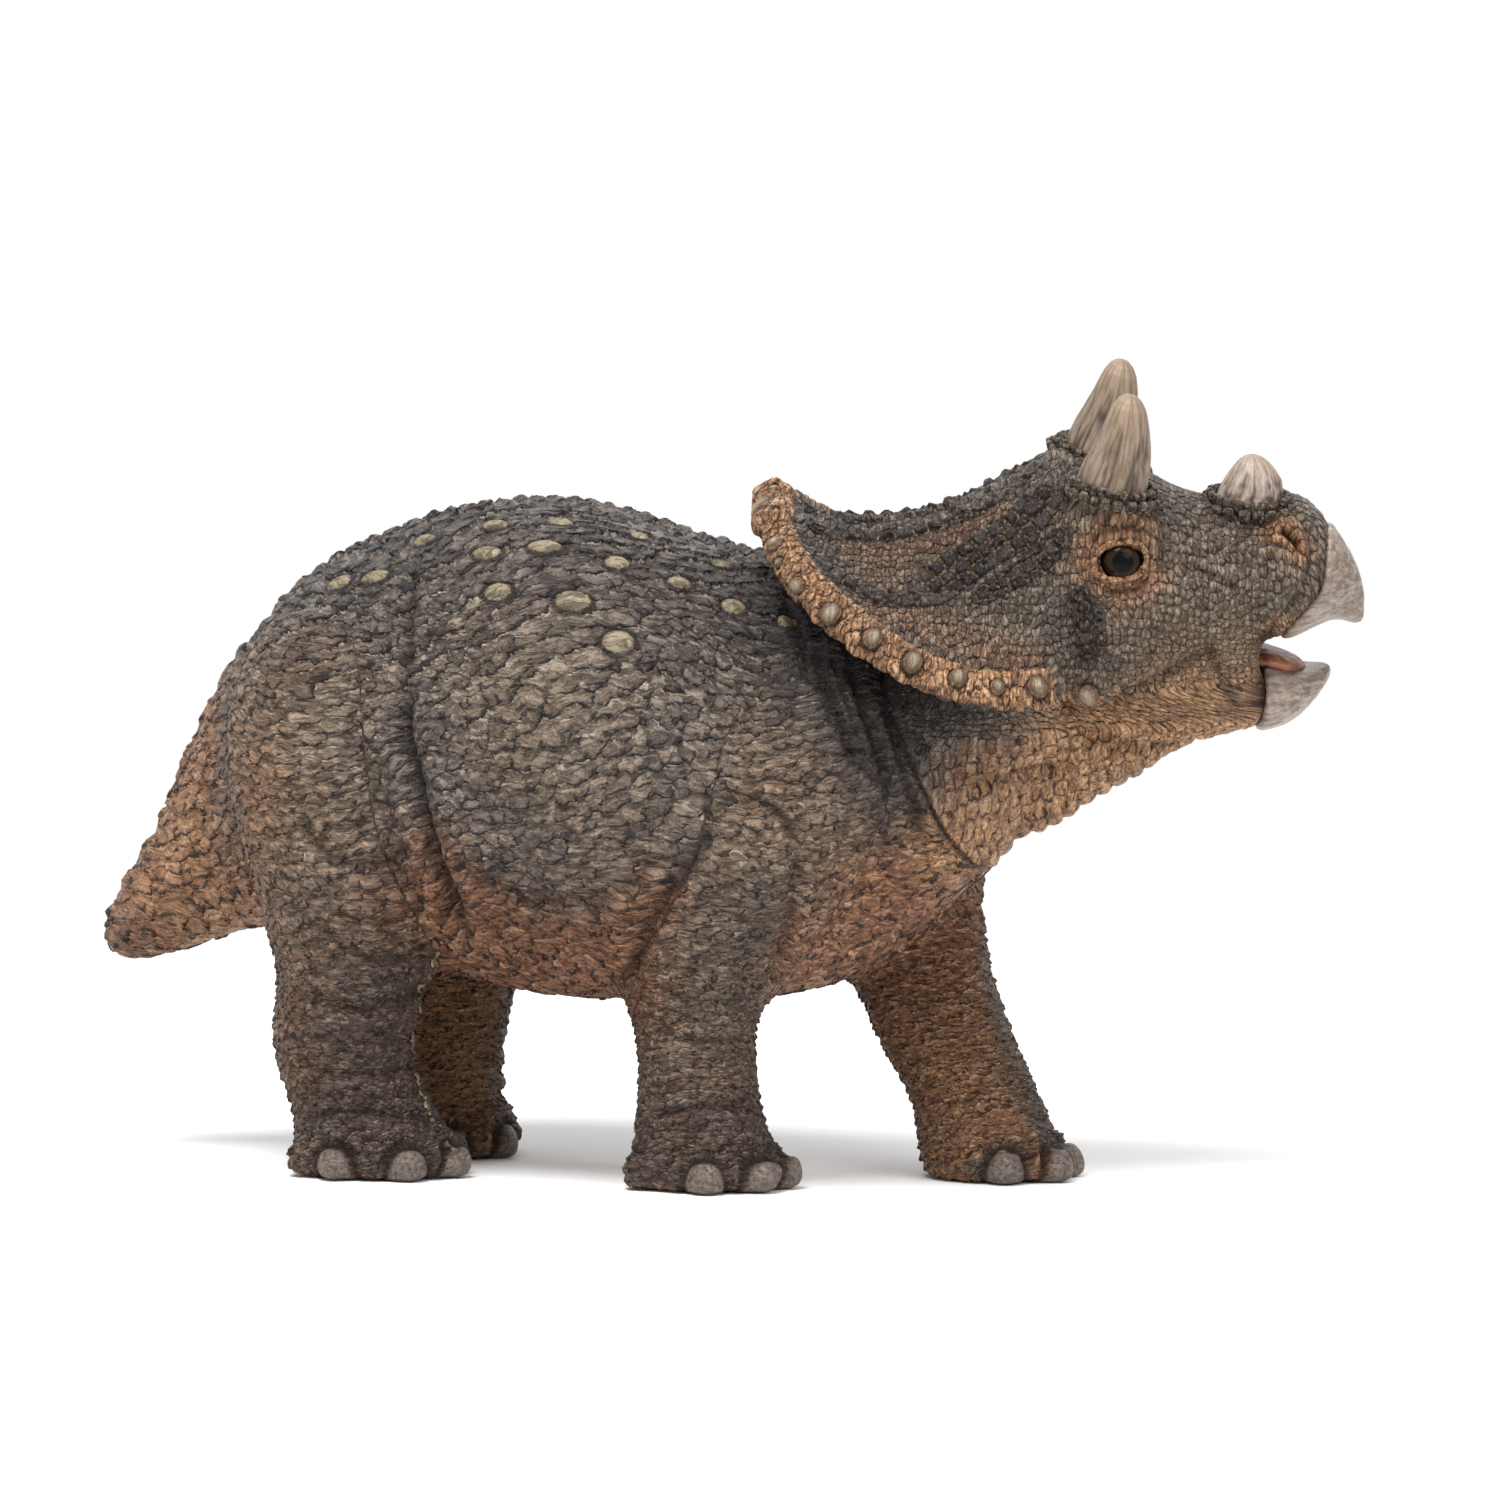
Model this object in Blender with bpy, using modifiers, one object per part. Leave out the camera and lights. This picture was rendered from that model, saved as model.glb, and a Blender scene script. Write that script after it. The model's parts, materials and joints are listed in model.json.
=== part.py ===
"""Toy figure of a young horned dinosaur, moulded in parts that plug together.

Metres. +X runs towards the head, +Y to the animal's left and +Z up. The figure
stands on Z = 0 with the origin under the middle of its bounding box. The head
is modelled in its own frame (forward, left, up), which the neck carries turned
and tilted, as the sculpted pose has it.
"""
import math

import bpy
import bmesh
import numpy as np
from mathutils import Matrix, Vector

# Fits between the mouldings
FIT_GAP = 0.0003
OVERRUN = 0.004

# Torso
BODY_LENGTH = 0.0764
BODY_WIDTH = 0.046
BODY_HEIGHT = 0.0525
BELLY_HEIGHT = 0.0182
NECK_TILT = math.radians(18)
NECK_SPIGOT_RADIUS = 0.006
NECK_SPIGOT_DEPTH = 0.006

# Tail
TAIL_REACH = 0.0266
TAIL_FALL = 0.0213
TAIL_SWAY = 0.002
TAIL_ROOT_RADIUS = 0.0135
TAIL_SPIGOT_RADIUS = 0.0035

# Legs
HIP_HEIGHT = 0.059
SHOULDER_HEIGHT = 0.0565
HIND_FOOT_LENGTH = 0.0190
FRONT_FOOT_LENGTH = 0.0176
LEG_SPIGOT_RADIUS = 0.0032
LEG_SPIGOT_LENGTH = 0.008
TOE_WIDTH = 0.0041
TOE_HEIGHT = 0.0043
TOE_DEPTH = 0.0024

# Head and neck
HEAD_LENGTH = 0.0372
HEAD_WIDTH = 0.0246
HEAD_HEIGHT = 0.0186
NECK_REACH = 0.0063
NECK_SIDE = 0.0015
NECK_LIFT = 0.0088
HEAD_ROLL = math.radians(12)
HEAD_YAW = math.radians(18)

# Frill
FRILL_LENGTH = 0.0255
FRILL_WIDTH = 0.0406
FRILL_HEIGHT = 0.0156
FRILL_THICKNESS = 0.0024
FRILL_RIM_RADIUS = 0.0019
STUD_RADIUS = 0.00125
STUD_COUNT = 20

# Horns, beak, eyes and tongue
BROW_HORN_LENGTH = 0.0106
BROW_HORN_RADIUS = 0.0037
BROW_HORN_SPREAD = 0.0130
NOSE_HORN_LENGTH = 0.0052
NOSE_HORN_RADIUS = 0.0034
HORN_PEG_DEPTH = 0.0025
HORN_COLLAR_RADIUS = 0.0007
HORN_BOSS_HEIGHT = 0.0030
BEAK_PEG_RADIUS = 0.0011
BEAK_PEG_DEPTH = 0.0024
EYE_RADIUS = 0.0021
CHEEK_KNOB_RADIUS = 0.0016
TONGUE_LENGTH = 0.0085
TONGUE_WIDTH = 0.0066
TONGUE_THICKNESS = 0.0020

# Torso sections from rump to neck seam: along, bottom, widest, top, half width, tilt
TORSO_SHARES = (
    (0.000, 0.390, 0.455, 0.520, 0.045, 0.00),
    (0.018, 0.215, 0.460, 0.660, 0.207, 0.00),
    (0.059, 0.149, 0.490, 0.765, 0.272, 0.00),
    (0.144, 0.103, 0.510, 0.868, 0.348, 0.00),
    (0.262, 0.063, 0.510, 0.935, 0.424, 0.00),
    (0.380, 0.023, 0.480, 0.980, 0.485, 0.00),
    (0.497, 0.002, 0.465, 0.990, 0.500, 0.00),
    (0.615, 0.000, 0.453, 0.958, 0.485, 0.00),
    (0.733, 0.011, 0.453, 0.900, 0.435, 0.05),
    (0.838, 0.045, 0.460, 0.872, 0.374, 0.33),
    (0.923, 0.155, 0.520, 0.880, 0.339, 0.67),
    (1.000, 0.270, 0.590, 0.905, 0.315, 1.00),
)
TORSO_FULLNESS = 2.15

# Tail sections from inside the rump to the tip: back, fall, sway, radius
TAIL_ROOT_SHARES = (0.131, 0.482)
TAIL_SHARES = (
    (0.000, 0.000, 0.00, 1.000),
    (0.180, 0.216, 0.03, 0.920),
    (0.395, 0.460, 0.12, 0.725),
    (0.613, 0.690, 0.30, 0.520),
    (0.770, 0.850, 0.50, 0.363),
    (0.876, 0.939, 0.70, 0.260),
    (0.962, 0.986, 0.90, 0.170),
    (1.000, 1.000, 1.00, 0.045),
)
TAIL_HALF_WIDTH_SHARE = 0.252
TAIL_SPIGOT_SHARE = 0.4

# Leg sections from sole to top: height, forward reach, side reach, half length, half width
HIND_LEG_SHARES = (
    (0.000, 0.00, 0.00, 0.470, 0.460),
    (0.025, 0.00, 0.00, 0.500, 0.500),
    (0.060, 0.08, 0.02, 0.455, 0.460),
    (0.110, 0.32, 0.06, 0.400, 0.405),
    (0.215, 0.78, 0.20, 0.390, 0.390),
    (0.305, 0.66, 0.34, 0.430, 0.415),
    (0.390, 0.46, 0.50, 0.470, 0.440),
    (0.475, 0.43, 0.65, 0.505, 0.475),
    (0.576, 0.69, 0.80, 0.530, 0.505),
    (0.745, 1.00, 1.00, 0.540, 0.525),
    (0.880, 1.06, 1.05, 0.440, 0.440),
    (0.965, 1.06, 1.00, 0.260, 0.270),
    (1.000, 1.06, 0.95, 0.060, 0.060),
)
PLANTED_LEG_SHARES = (
    (0.000, 0.00, 0.00, 0.470, 0.460),
    (0.027, 0.00, 0.00, 0.505, 0.500),
    (0.064, -0.03, 0.00, 0.430, 0.440),
    (0.138, -0.07, 0.00, 0.375, 0.385),
    (0.230, -0.08, 0.00, 0.352, 0.365),
    (0.301, -0.10, 0.08, 0.375, 0.375),
    (0.372, -0.03, 0.22, 0.440, 0.400),
    (0.442, 0.13, 0.40, 0.495, 0.425),
    (0.531, 0.35, 0.60, 0.535, 0.450),
    (0.637, 0.61, 0.85, 0.545, 0.475),
    (0.796, 0.86, 1.00, 0.520, 0.460),
    (0.920, 0.98, 1.00, 0.370, 0.340),
    (1.000, 1.00, 0.95, 0.060, 0.060),
)
STRIDING_LEG_SHARES = (
    (0.000, 0.00, 0.00, 0.440, 0.450),
    (0.027, 0.00, 0.00, 0.470, 0.475),
    (0.055, 0.06, 0.00, 0.435, 0.440),
    (0.130, 0.16, 0.07, 0.405, 0.415),
    (0.221, 0.38, 0.28, 0.392, 0.395),
    (0.294, 0.56, 0.43, 0.412, 0.405),
    (0.360, 0.71, 0.57, 0.432, 0.415),
    (0.442, 0.87, 0.78, 0.477, 0.440),
    (0.549, 0.98, 0.93, 0.525, 0.460),
    (0.796, 1.03, 1.00, 0.525, 0.460),
    (0.920, 1.03, 1.00, 0.370, 0.340),
    (1.000, 1.03, 0.95, 0.060, 0.060),
)
HIND_FOOT_WIDTH_SHARE = 0.357
FRONT_FOOT_WIDTH_SHARE = 0.348
SPIGOT_HEIGHT_SHARE = 0.74
SPIGOT_START_SHARE = 0.72
TOE_SINK_SHARE = 1 / 3

# Each leg: table, foot along and aside, top along and aside, toe directions in degrees
LEG_SHARES = {
    "leg_hind_right": (HIND_LEG_SHARES, (0.243, -0.218), (0.178, -0.305), (10, 53, 105, 138)),
    "leg_hind_left": (HIND_LEG_SHARES, (0.234, 0.170), (0.240, 0.305), (-60, -8, 45, 95)),
    "leg_front_right": (PLANTED_LEG_SHARES, (0.715, -0.215), (0.900, -0.310), (-2, 32, 75, 135)),
    "leg_front_left": (STRIDING_LEG_SHARES, (1.060, 0.155), (0.882, 0.305), (-70, -22, 22, 66)),
}

# Skull, upper jaw and lower jaw sections: forward, bottom, widest, top, half width
SKULL_SHARES = (
    (-0.161, -0.38, 0.160, 0.48, 0.325),
    (-0.081, -0.51, 0.160, 0.70, 0.447),
    (0.081, -0.565, 0.160, 0.89, 0.488),
    (0.242, -0.575, 0.215, 0.93, 0.496),
    (0.376, -0.565, 0.215, 0.89, 0.459),
    (0.484, -0.540, 0.215, 0.785, 0.394),
    (0.618, -0.500, 0.215, 0.705, 0.337),
    (0.715, -0.460, 0.215, 0.70, 0.300),
)
UPPER_JAW_SHARES = (
    (0.484, -0.108, 0.215, 0.770, 0.366),
    (0.645, -0.065, 0.269, 0.715, 0.321),
    (0.739, -0.054, 0.296, 0.735, 0.293),
    (0.806, -0.032, 0.323, 0.755, 0.260),
    (0.866, 0.022, 0.323, 0.700, 0.211),
    (0.919, 0.065, 0.280, 0.550, 0.150),
    (0.962, 0.048, 0.210, 0.415, 0.093),
    (0.989, 0.027, 0.140, 0.290, 0.049),
    (1.000, 0.043, 0.100, 0.190, 0.020),
)
LOWER_JAW_SHARES = (
    (0.323, -0.590, -0.376, -0.108, 0.370),
    (0.484, -0.630, -0.350, -0.118, 0.350),
    (0.645, -0.580, -0.323, -0.161, 0.305),
    (0.739, -0.560, -0.323, -0.204, 0.258),
    (0.806, -0.516, -0.323, -0.247, 0.203),
    (0.860, -0.414, -0.317, -0.253, 0.138),
    (0.895, -0.323, -0.280, -0.237, 0.069),
    (0.911, -0.274, -0.258, -0.242, 0.024),
)
THROAT_SHARES = (
    (-0.200, -1.240, -0.430, 0.000, 0.340),
    (-0.108, -1.210, -0.430, 0.000, 0.366),
    (0.000, -1.200, -0.430, 0.000, 0.407),
    (0.134, -1.125, -0.376, 0.000, 0.396),
    (0.253, -0.985, -0.376, 0.000, 0.386),
    (0.382, -0.840, -0.320, 0.000, 0.360),
    (0.457, -0.735, -0.320, -0.054, 0.320),
    (0.538, -0.640, -0.320, -0.108, 0.240),
)
SKULL_FULLNESS = 2.3

# Where the neck ends inside the skull: forward, half width, rise and drop
NECK_END_SHARES = (0.26, 0.44, 0.55, 0.60)

# Side outlines of what the beak takes from each jaw: forward, up
UPPER_BEAK_SHARES = (
    (0.909, 0.565), (0.897, 0.304), (0.889, 0.245), (0.812, 0.075), (0.780, -0.038),
    (0.780, -0.160), (1.080, -0.160), (1.080, 0.700), (0.915, 0.700),
)
LOWER_BEAK_SHARES = (
    (0.734, -0.100), (0.734, -0.210), (0.745, -0.310), (0.734, -0.450), (0.710, -0.600),
    (0.710, -0.700), (1.050, -0.700), (1.050, -0.100),
)
# The outlines grow away from their middle, which moves a slanting side less than a corner.
BEAK_GROWTH_SHARE = 1.6

# Frill rails from midline to lower corner: back, aside, up, at the root, middle and rim
FRILL_ROOT_SHARES = (
    (-0.240, 0.00, 1.23), (-0.240, 0.22, 1.14), (-0.250, 0.39, 0.90), (-0.255, 0.47, 0.61),
    (-0.255, 0.50, 0.35), (-0.255, 0.51, 0.13), (-0.255, 0.51, -0.10),
)
FRILL_MIDDLE_SHARES = (
    (0.350, 0.000, 0.760), (0.330, 0.295, 0.660), (0.270, 0.550, 0.440),
    (0.170, 0.720, 0.275), (0.040, 0.805, 0.120), (-0.080, 0.835, -0.015),
    (-0.215, 0.780, -0.090),
)
FRILL_RIM_SHARES = (
    (0.900, 0.000, 0.820), (0.895, 0.250, 0.730), (0.800, 0.560, 0.515),
    (0.625, 0.770, 0.300), (0.400, 0.900, 0.080), (0.120, 0.965, -0.090),
    (-0.176, 0.930, -0.080),
)

STUD_SIDE_SHARE = 0.65
STUD_CENTRE_SHARE = 1 / 3
FRILL_CORNER_SHARE = 1.15

# Horn outlines from base to tip: height, radius
BROW_HORN_OUTLINE_SHARES = (
    (0.00, 1.00), (0.25, 0.88), (0.50, 0.70), (0.72, 0.54), (0.88, 0.41), (0.965, 0.25),
    (1.00, 0.05),
)
NOSE_HORN_OUTLINE_SHARES = (
    (0.00, 1.00), (0.25, 0.93), (0.48, 0.80), (0.70, 0.62), (0.87, 0.42), (0.965, 0.22),
    (1.00, 0.05),
)

# Places on the head: forward, aside, up
HORN_BOSS_SHARES = ((-1.00, 1.04), (-0.62, 1.04), (-0.28, 1.02))
HORN_COLLAR_SINK_SHARE = 0.5
BROW_HORN_SHARES = (0.300, 0.876)
BROW_HORN_LEAN = math.radians(9.5)
NOSE_HORN_SHARES = (0.682, 0.690)
NOSE_HORN_LEAN = math.radians(4)
EYE_SHARES = (0.322, 0.398, 0.523)
BROW_SWELL_SHARES = (0.312, 0.300, 0.650)
BROW_RADIUS_SHARES = (0.148, 0.167, 0.226)
CHEEK_SHARES = (0.262, 0.440, 0.040)
CHEEK_RADIUS_SHARES = (0.092, 0.080, 0.300)
CHEEK_KNOB_SHARES = (0.253, 0.505, -0.180)
TONGUE_SHARES = (0.645, -0.177)
TONGUE_OUTLINE_SHARES = (
    (0.00, 0.80, 0.90), (0.35, 1.00, 1.00), (0.65, 0.92, 1.00), (0.85, 0.70, 0.80),
    (0.96, 0.40, 0.50), (1.00, 0.10, 0.15),
)
UPPER_PEG_SHARES = (0.897, 0.27)
LOWER_PEG_SHARES = (0.742, -0.36)

# Facets
TORSO_SIDES, TORSO_SECTIONS = 32, 26
LEG_SIDES, LEG_SECTIONS = 18, 20
HEAD_SIDES, HEAD_SECTIONS = 24, 14
SMALL_SIDES, SMALL_SECTIONS = 14, 8
FRILL_ROWS, FRILL_COLUMNS = 7, 29
COLLAR_STEPS = 4


# Scene and materials

def clear_scene():
    for obj in list(bpy.data.objects):
        bpy.data.objects.remove(obj)


def new_collection(name, hidden=False):
    collection = bpy.data.collections.new(name)
    bpy.context.scene.collection.children.link(collection)
    collection.hide_render = hidden
    return collection


def plastic(name, colour, roughness):
    material = bpy.data.materials.new(name)
    material.use_nodes = True
    shader = material.node_tree.nodes["Principled BSDF"]
    shader.inputs["Base Color"].default_value = (*colour, 1.0)
    shader.inputs["Roughness"].default_value = roughness
    shader.inputs["Metallic"].default_value = 0.0
    return material


clear_scene()
FIGURE = new_collection("toy_dinosaur")
HELPERS = new_collection("helpers", hidden=True)
SKIN = plastic("painted_skin", (0.165, 0.130, 0.100), 0.55)
HORN = plastic("painted_horn", (0.420, 0.350, 0.290), 0.45)
BEAK = plastic("painted_beak", (0.340, 0.290, 0.265), 0.40)
FLESH = plastic("painted_flesh", (0.230, 0.085, 0.045), 0.45)
GLOSS = plastic("gloss_eye", (0.020, 0.012, 0.010), 0.08)


# Forms

def smooth_rows(rows, count):
    """The table's rows joined by a smooth curve through each, read at count places."""
    rows = np.array(rows, float)
    padded = np.vstack([2 * rows[0] - rows[1], rows, 2 * rows[-1] - rows[-2]])
    steps = np.linspace(0, len(rows) - 1, count)
    start = np.minimum(steps.astype(int), len(rows) - 2)
    t = (steps - start)[:, None]
    a, b, c, d = (padded[start + k] for k in range(4))
    return 0.5 * (
        2 * b + (c - a) * t + (2 * a - 5 * b + 4 * c - d) * t ** 2
        + (3 * b - a - 3 * c + d) * t ** 3
    )


def section(centre, side, up, half_width, rise, drop, sides, fullness=2.0):
    """One closed section: a superellipse that may rise and drop by unlike amounts."""
    points = []
    for k in range(sides):
        turn = 2 * math.pi * k / sides
        across, along = math.cos(turn), math.sin(turn)
        reach = rise if along > 0 else drop
        points.append(
            centre
            + side * math.copysign(abs(across) ** (2 / fullness), across) * half_width
            + up * math.copysign(abs(along) ** (2 / fullness), along) * reach
        )
    return points


def mesh_object(name, mesh, collection):
    obj = bpy.data.objects.new(name, mesh)
    collection.objects.link(obj)
    return obj


def loft(name, sections):
    """A closed skin through sections that have as many points each."""
    shape = bmesh.new()
    rings = [[shape.verts.new(point) for point in points] for points in sections]
    sides = len(rings[0])
    for near, far in zip(rings, rings[1:]):
        for k in range(sides):
            after = (k + 1) % sides
            shape.faces.new((near[k], near[after], far[after], far[k]))
    shape.faces.new(rings[0][::-1])
    shape.faces.new(rings[-1])
    bmesh.ops.recalc_face_normals(shape, faces=shape.faces)
    mesh = bpy.data.meshes.new(name)
    shape.to_mesh(mesh)
    shape.free()
    return mesh_object(name, mesh, HELPERS)


def ball(name, centre, radii, segments=12, rings=8, turn=Matrix.Identity(3)):
    """An ellipsoid with its own three radii."""
    shape = bmesh.new()
    bmesh.ops.create_uvsphere(shape, u_segments=segments, v_segments=rings, radius=1)
    place = Matrix.Translation(centre) @ turn.to_4x4() @ Matrix.Diagonal((*radii, 1))
    bmesh.ops.transform(shape, matrix=place, verts=shape.verts)
    mesh = bpy.data.meshes.new(name)
    shape.to_mesh(mesh)
    shape.free()
    return mesh_object(name, mesh, HELPERS)


def rod(name, start, end, radius, segments=20):
    """A round bar from start to end."""
    run = Vector(end) - Vector(start)
    shape = bmesh.new()
    bmesh.ops.create_cone(
        shape, cap_ends=True, segments=segments, radius1=radius, radius2=radius,
        depth=run.length,
    )
    turn = Vector((0, 0, 1)).rotation_difference(run).to_matrix().to_4x4()
    place = Matrix.Translation((Vector(start) + Vector(end)) / 2) @ turn
    bmesh.ops.transform(shape, matrix=place, verts=shape.verts)
    mesh = bpy.data.meshes.new(name)
    shape.to_mesh(mesh)
    shape.free()
    return mesh_object(name, mesh, HELPERS)


def baked(name, obj):
    """A plain mesh object with the shape that obj's modifiers give it."""
    bpy.context.view_layer.update()
    graph = bpy.context.evaluated_depsgraph_get()
    mesh = bpy.data.meshes.new_from_object(obj.evaluated_get(graph))
    made = mesh_object(name, mesh, HELPERS)
    made.matrix_world = obj.matrix_world.copy()
    bpy.data.objects.remove(obj)
    return made


def welded(obj):
    shape = bmesh.new()
    shape.from_mesh(obj.data)
    bmesh.ops.remove_doubles(shape, verts=shape.verts, dist=FIT_GAP / 100)
    shape.to_mesh(obj.data)
    shape.free()
    return obj


def combine(obj, operation, tools, solver="EXACT"):
    """obj with each tool joined to it, cut from it or kept in common, as one mesh."""
    name = obj.name
    for tool in tools:
        modifier = obj.modifiers.new(operation.lower(), "BOOLEAN")
        modifier.operation = operation
        modifier.solver = solver
        modifier.object = tool
    made = baked(name + "_made", obj)
    made.name = name
    return made


def largest_body(obj):
    """Drops the slivers that a cut leaves beside the main body."""
    shape = bmesh.new()
    shape.from_mesh(obj.data)
    shape.verts.ensure_lookup_table()
    seen = set()
    bodies = []
    for start in shape.verts:
        if start in seen:
            continue
        found, waiting = [], [start]
        seen.add(start)
        while waiting:
            vert = waiting.pop()
            found.append(vert)
            for edge in vert.link_edges:
                other = edge.other_vert(vert)
                if other not in seen:
                    seen.add(other)
                    waiting.append(other)
        bodies.append(found)
    bodies.sort(key=len)
    for body in bodies[:-1]:
        bmesh.ops.delete(shape, geom=body, context="VERTS")
    shape.to_mesh(obj.data)
    shape.free()
    return obj


def finish(obj, name, material):
    """Moves a made piece to the figure under its own name, shaded smooth."""
    HELPERS.objects.unlink(obj)
    FIGURE.objects.link(obj)
    obj.name = name
    obj.data.name = name
    obj.data.materials.clear()
    obj.data.materials.append(material)
    obj.data.shade_smooth()
    obj.data.set_sharp_from_angle(angle=math.radians(38))
    return obj


# Torso and tail

def body_x(share):
    return BODY_LENGTH * (share - 0.5)


def body_z(share):
    return BELLY_HEIGHT + BODY_HEIGHT * share


def neck_frame():
    """Centre of the neck seam with the directions along and up its face."""
    along, widest = TORSO_SHARES[-1][0], TORSO_SHARES[-1][2]
    centre = Vector((body_x(along), 0, body_z(widest)))
    forward = Vector((math.cos(NECK_TILT), 0, math.sin(NECK_TILT)))
    up = Vector((-math.sin(NECK_TILT), 0, math.cos(NECK_TILT)))
    return centre, forward, up


def torso_form(name, grow=0.0):
    """The torso's skin, or a cutter that is larger by grow all round."""
    rows = smooth_rows(TORSO_SHARES, TORSO_SECTIONS)
    sections = []
    for k, (along, bottom, widest, top, half_width, tilt) in enumerate(rows):
        angle = NECK_TILT * tilt
        forward = Vector((math.cos(angle), 0, math.sin(angle)))
        up = Vector((-math.sin(angle), 0, math.cos(angle)))
        centre = Vector((body_x(along), 0, body_z(widest)))
        centre += forward * grow * ((k == len(rows) - 1) - (k == 0))
        sections.append(section(
            centre, Vector((0, -1, 0)), up, BODY_WIDTH * half_width + grow,
            BODY_HEIGHT * (top - widest) + grow, BODY_HEIGHT * (widest - bottom) + grow,
            TORSO_SIDES, TORSO_FULLNESS,
        ))
    return loft(name, sections)


def tail_path():
    """Centres along the tail, with the half height and half width at each."""
    root = Vector((body_x(TAIL_ROOT_SHARES[0]), 0, body_z(TAIL_ROOT_SHARES[1])))
    rows = smooth_rows(TAIL_SHARES, SMALL_SECTIONS * 2)
    centres = [
        root + Vector((-TAIL_REACH * back, TAIL_SWAY * sway, -TAIL_FALL * fall))
        for back, fall, sway, _ in rows
    ]
    sizes = [(TAIL_ROOT_RADIUS * row[3], BODY_WIDTH * TAIL_HALF_WIDTH_SHARE * row[3])
             for row in rows]
    return centres, sizes


def tail_form(name):
    centres, sizes = tail_path()
    sections = []
    for k, (centre, (half_height, half_width)) in enumerate(zip(centres, sizes)):
        run = (centres[min(k + 1, len(centres) - 1)] - centres[max(k - 1, 0)]).normalized()
        side = run.cross(Vector((0, 0, 1))).normalized()
        sections.append(section(
            centre, side, side.cross(run), half_width, half_height, half_height,
            TORSO_SIDES * 2 // 3,
        ))
    return loft(name, sections)


def tail_spigot(name, grow=0.0):
    """The peg along the tail's own run, from inside the tail into the rump."""
    centres, _ = tail_path()
    outer, inner = centres[int(len(centres) * TAIL_SPIGOT_SHARE)], centres[0]
    inner -= (outer - inner).normalized() * grow
    return rod(name, outer, inner, TAIL_SPIGOT_RADIUS + grow)


# Legs

def leg_places(name):
    """Section centres and half sizes of a leg, from the sole up."""
    table, foot, top, _ = LEG_SHARES[name]
    hind = "hind" in name
    height = HIP_HEIGHT if hind else SHOULDER_HEIGHT
    length = HIND_FOOT_LENGTH if hind else FRONT_FOOT_LENGTH
    width = BODY_WIDTH * (HIND_FOOT_WIDTH_SHARE if hind else FRONT_FOOT_WIDTH_SHARE)
    places = []
    for up, reach, aside, half_length, half_width in smooth_rows(table, LEG_SECTIONS):
        x = body_x(foot[0] + (top[0] - foot[0]) * reach)
        y = BODY_WIDTH * (foot[1] + (top[1] - foot[1]) * aside)
        places.append((Vector((x, y, height * up)), length * half_length, width * half_width))
    return places


def leg_form(name, grow=0.0):
    sections = [
        section(centre, Vector((1, 0, 0)), Vector((0, 1, 0)), half_length + grow,
                half_width + grow, half_width + grow, LEG_SIDES)
        for centre, half_length, half_width in leg_places(name)
    ]
    return loft(name + "_form", sections)


def toe_forms(name):
    """Rounded toe ends round the front of a foot, flat where they meet the floor."""
    _, _, _, directions = LEG_SHARES[name]
    centre, half_length, half_width = leg_places(name)[1]
    side = 1 if "left" in name else -1
    toes = []
    for k, degrees in enumerate(directions):
        angle = math.radians(degrees) * side
        out = Vector((math.cos(angle), math.sin(angle), 0))
        place = Vector((centre.x + half_length * out.x, centre.y + half_width * out.y, 0))
        place -= out * TOE_DEPTH * TOE_SINK_SHARE
        place.z = TOE_HEIGHT * TOE_SINK_SHARE
        toes.append(ball(
            f"{name}_toe_{k}", place,
            (TOE_DEPTH, TOE_WIDTH / 2, TOE_HEIGHT * (1 - TOE_SINK_SHARE)),
            turn=Matrix.Rotation(angle, 3, "Z"),
        ))
    return toes


def leg_spigot(name, grow=0.0):
    """The peg from inside the leg's top into the torso."""
    side = 1 if "left" in name else -1
    height = HIP_HEIGHT if "hind" in name else SHOULDER_HEIGHT
    centre, _, half_width = min(
        leg_places(name), key=lambda place: abs(place[0].z - SPIGOT_HEIGHT_SHARE * height),
    )
    outer = centre + Vector((0, side * half_width * SPIGOT_START_SHARE, 0))
    inner = outer - Vector((0, side * (LEG_SPIGOT_LENGTH + grow), 0))
    return rod(name + "_spigot", outer, inner, LEG_SPIGOT_RADIUS + grow)


def floor_cutter():
    """Everything under the floor, which keeps each sole flat."""
    reach = BODY_LENGTH * 2
    shape = bmesh.new()
    bmesh.ops.create_cube(shape, size=1)
    place = Matrix.Translation((0, 0, -BODY_HEIGHT / 2)) @ Matrix.Diagonal(
        (reach, reach, BODY_HEIGHT, 1))
    bmesh.ops.transform(shape, matrix=place, verts=shape.verts)
    mesh = bpy.data.meshes.new("floor")
    shape.to_mesh(mesh)
    shape.free()
    return mesh_object("floor_cutter", mesh, HELPERS)


# Head

def head_place():
    """Where the head's frame lies: forward, left and up as the pose turns them."""
    centre, _, _ = neck_frame()
    origin = centre + Vector((NECK_REACH, NECK_SIDE, NECK_LIFT))
    turn = Matrix.Rotation(HEAD_YAW, 4, "Z") @ Matrix.Rotation(HEAD_ROLL, 4, "X")
    return Matrix.Translation(origin) @ turn


def on_head(forward, aside, up):
    """A point of the head's frame, given in real lengths."""
    return head_place() @ Vector((forward, aside, up))


def head_shares(forward, aside, up):
    """A point of the head's frame, given as shares of the head's sizes."""
    return on_head(HEAD_LENGTH * forward, HEAD_WIDTH * aside, HEAD_HEIGHT * up)


def head_direction(forward, aside, up):
    return (head_place().to_3x3() @ Vector((forward, aside, up))).normalized()


def head_form(name, table, fullness=SKULL_FULLNESS, sections_count=HEAD_SECTIONS):
    side, up_way = head_direction(0, -1, 0), head_direction(0, 0, 1)
    sections = []
    for forward, bottom, widest, top, half_width in smooth_rows(table, sections_count):
        sections.append(section(
            head_shares(forward, 0, widest), side, up_way, HEAD_WIDTH * half_width,
            HEAD_HEIGHT * (top - widest), HEAD_HEIGHT * (widest - bottom),
            HEAD_SIDES, fullness,
        ))
    return loft(name, sections)


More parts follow.
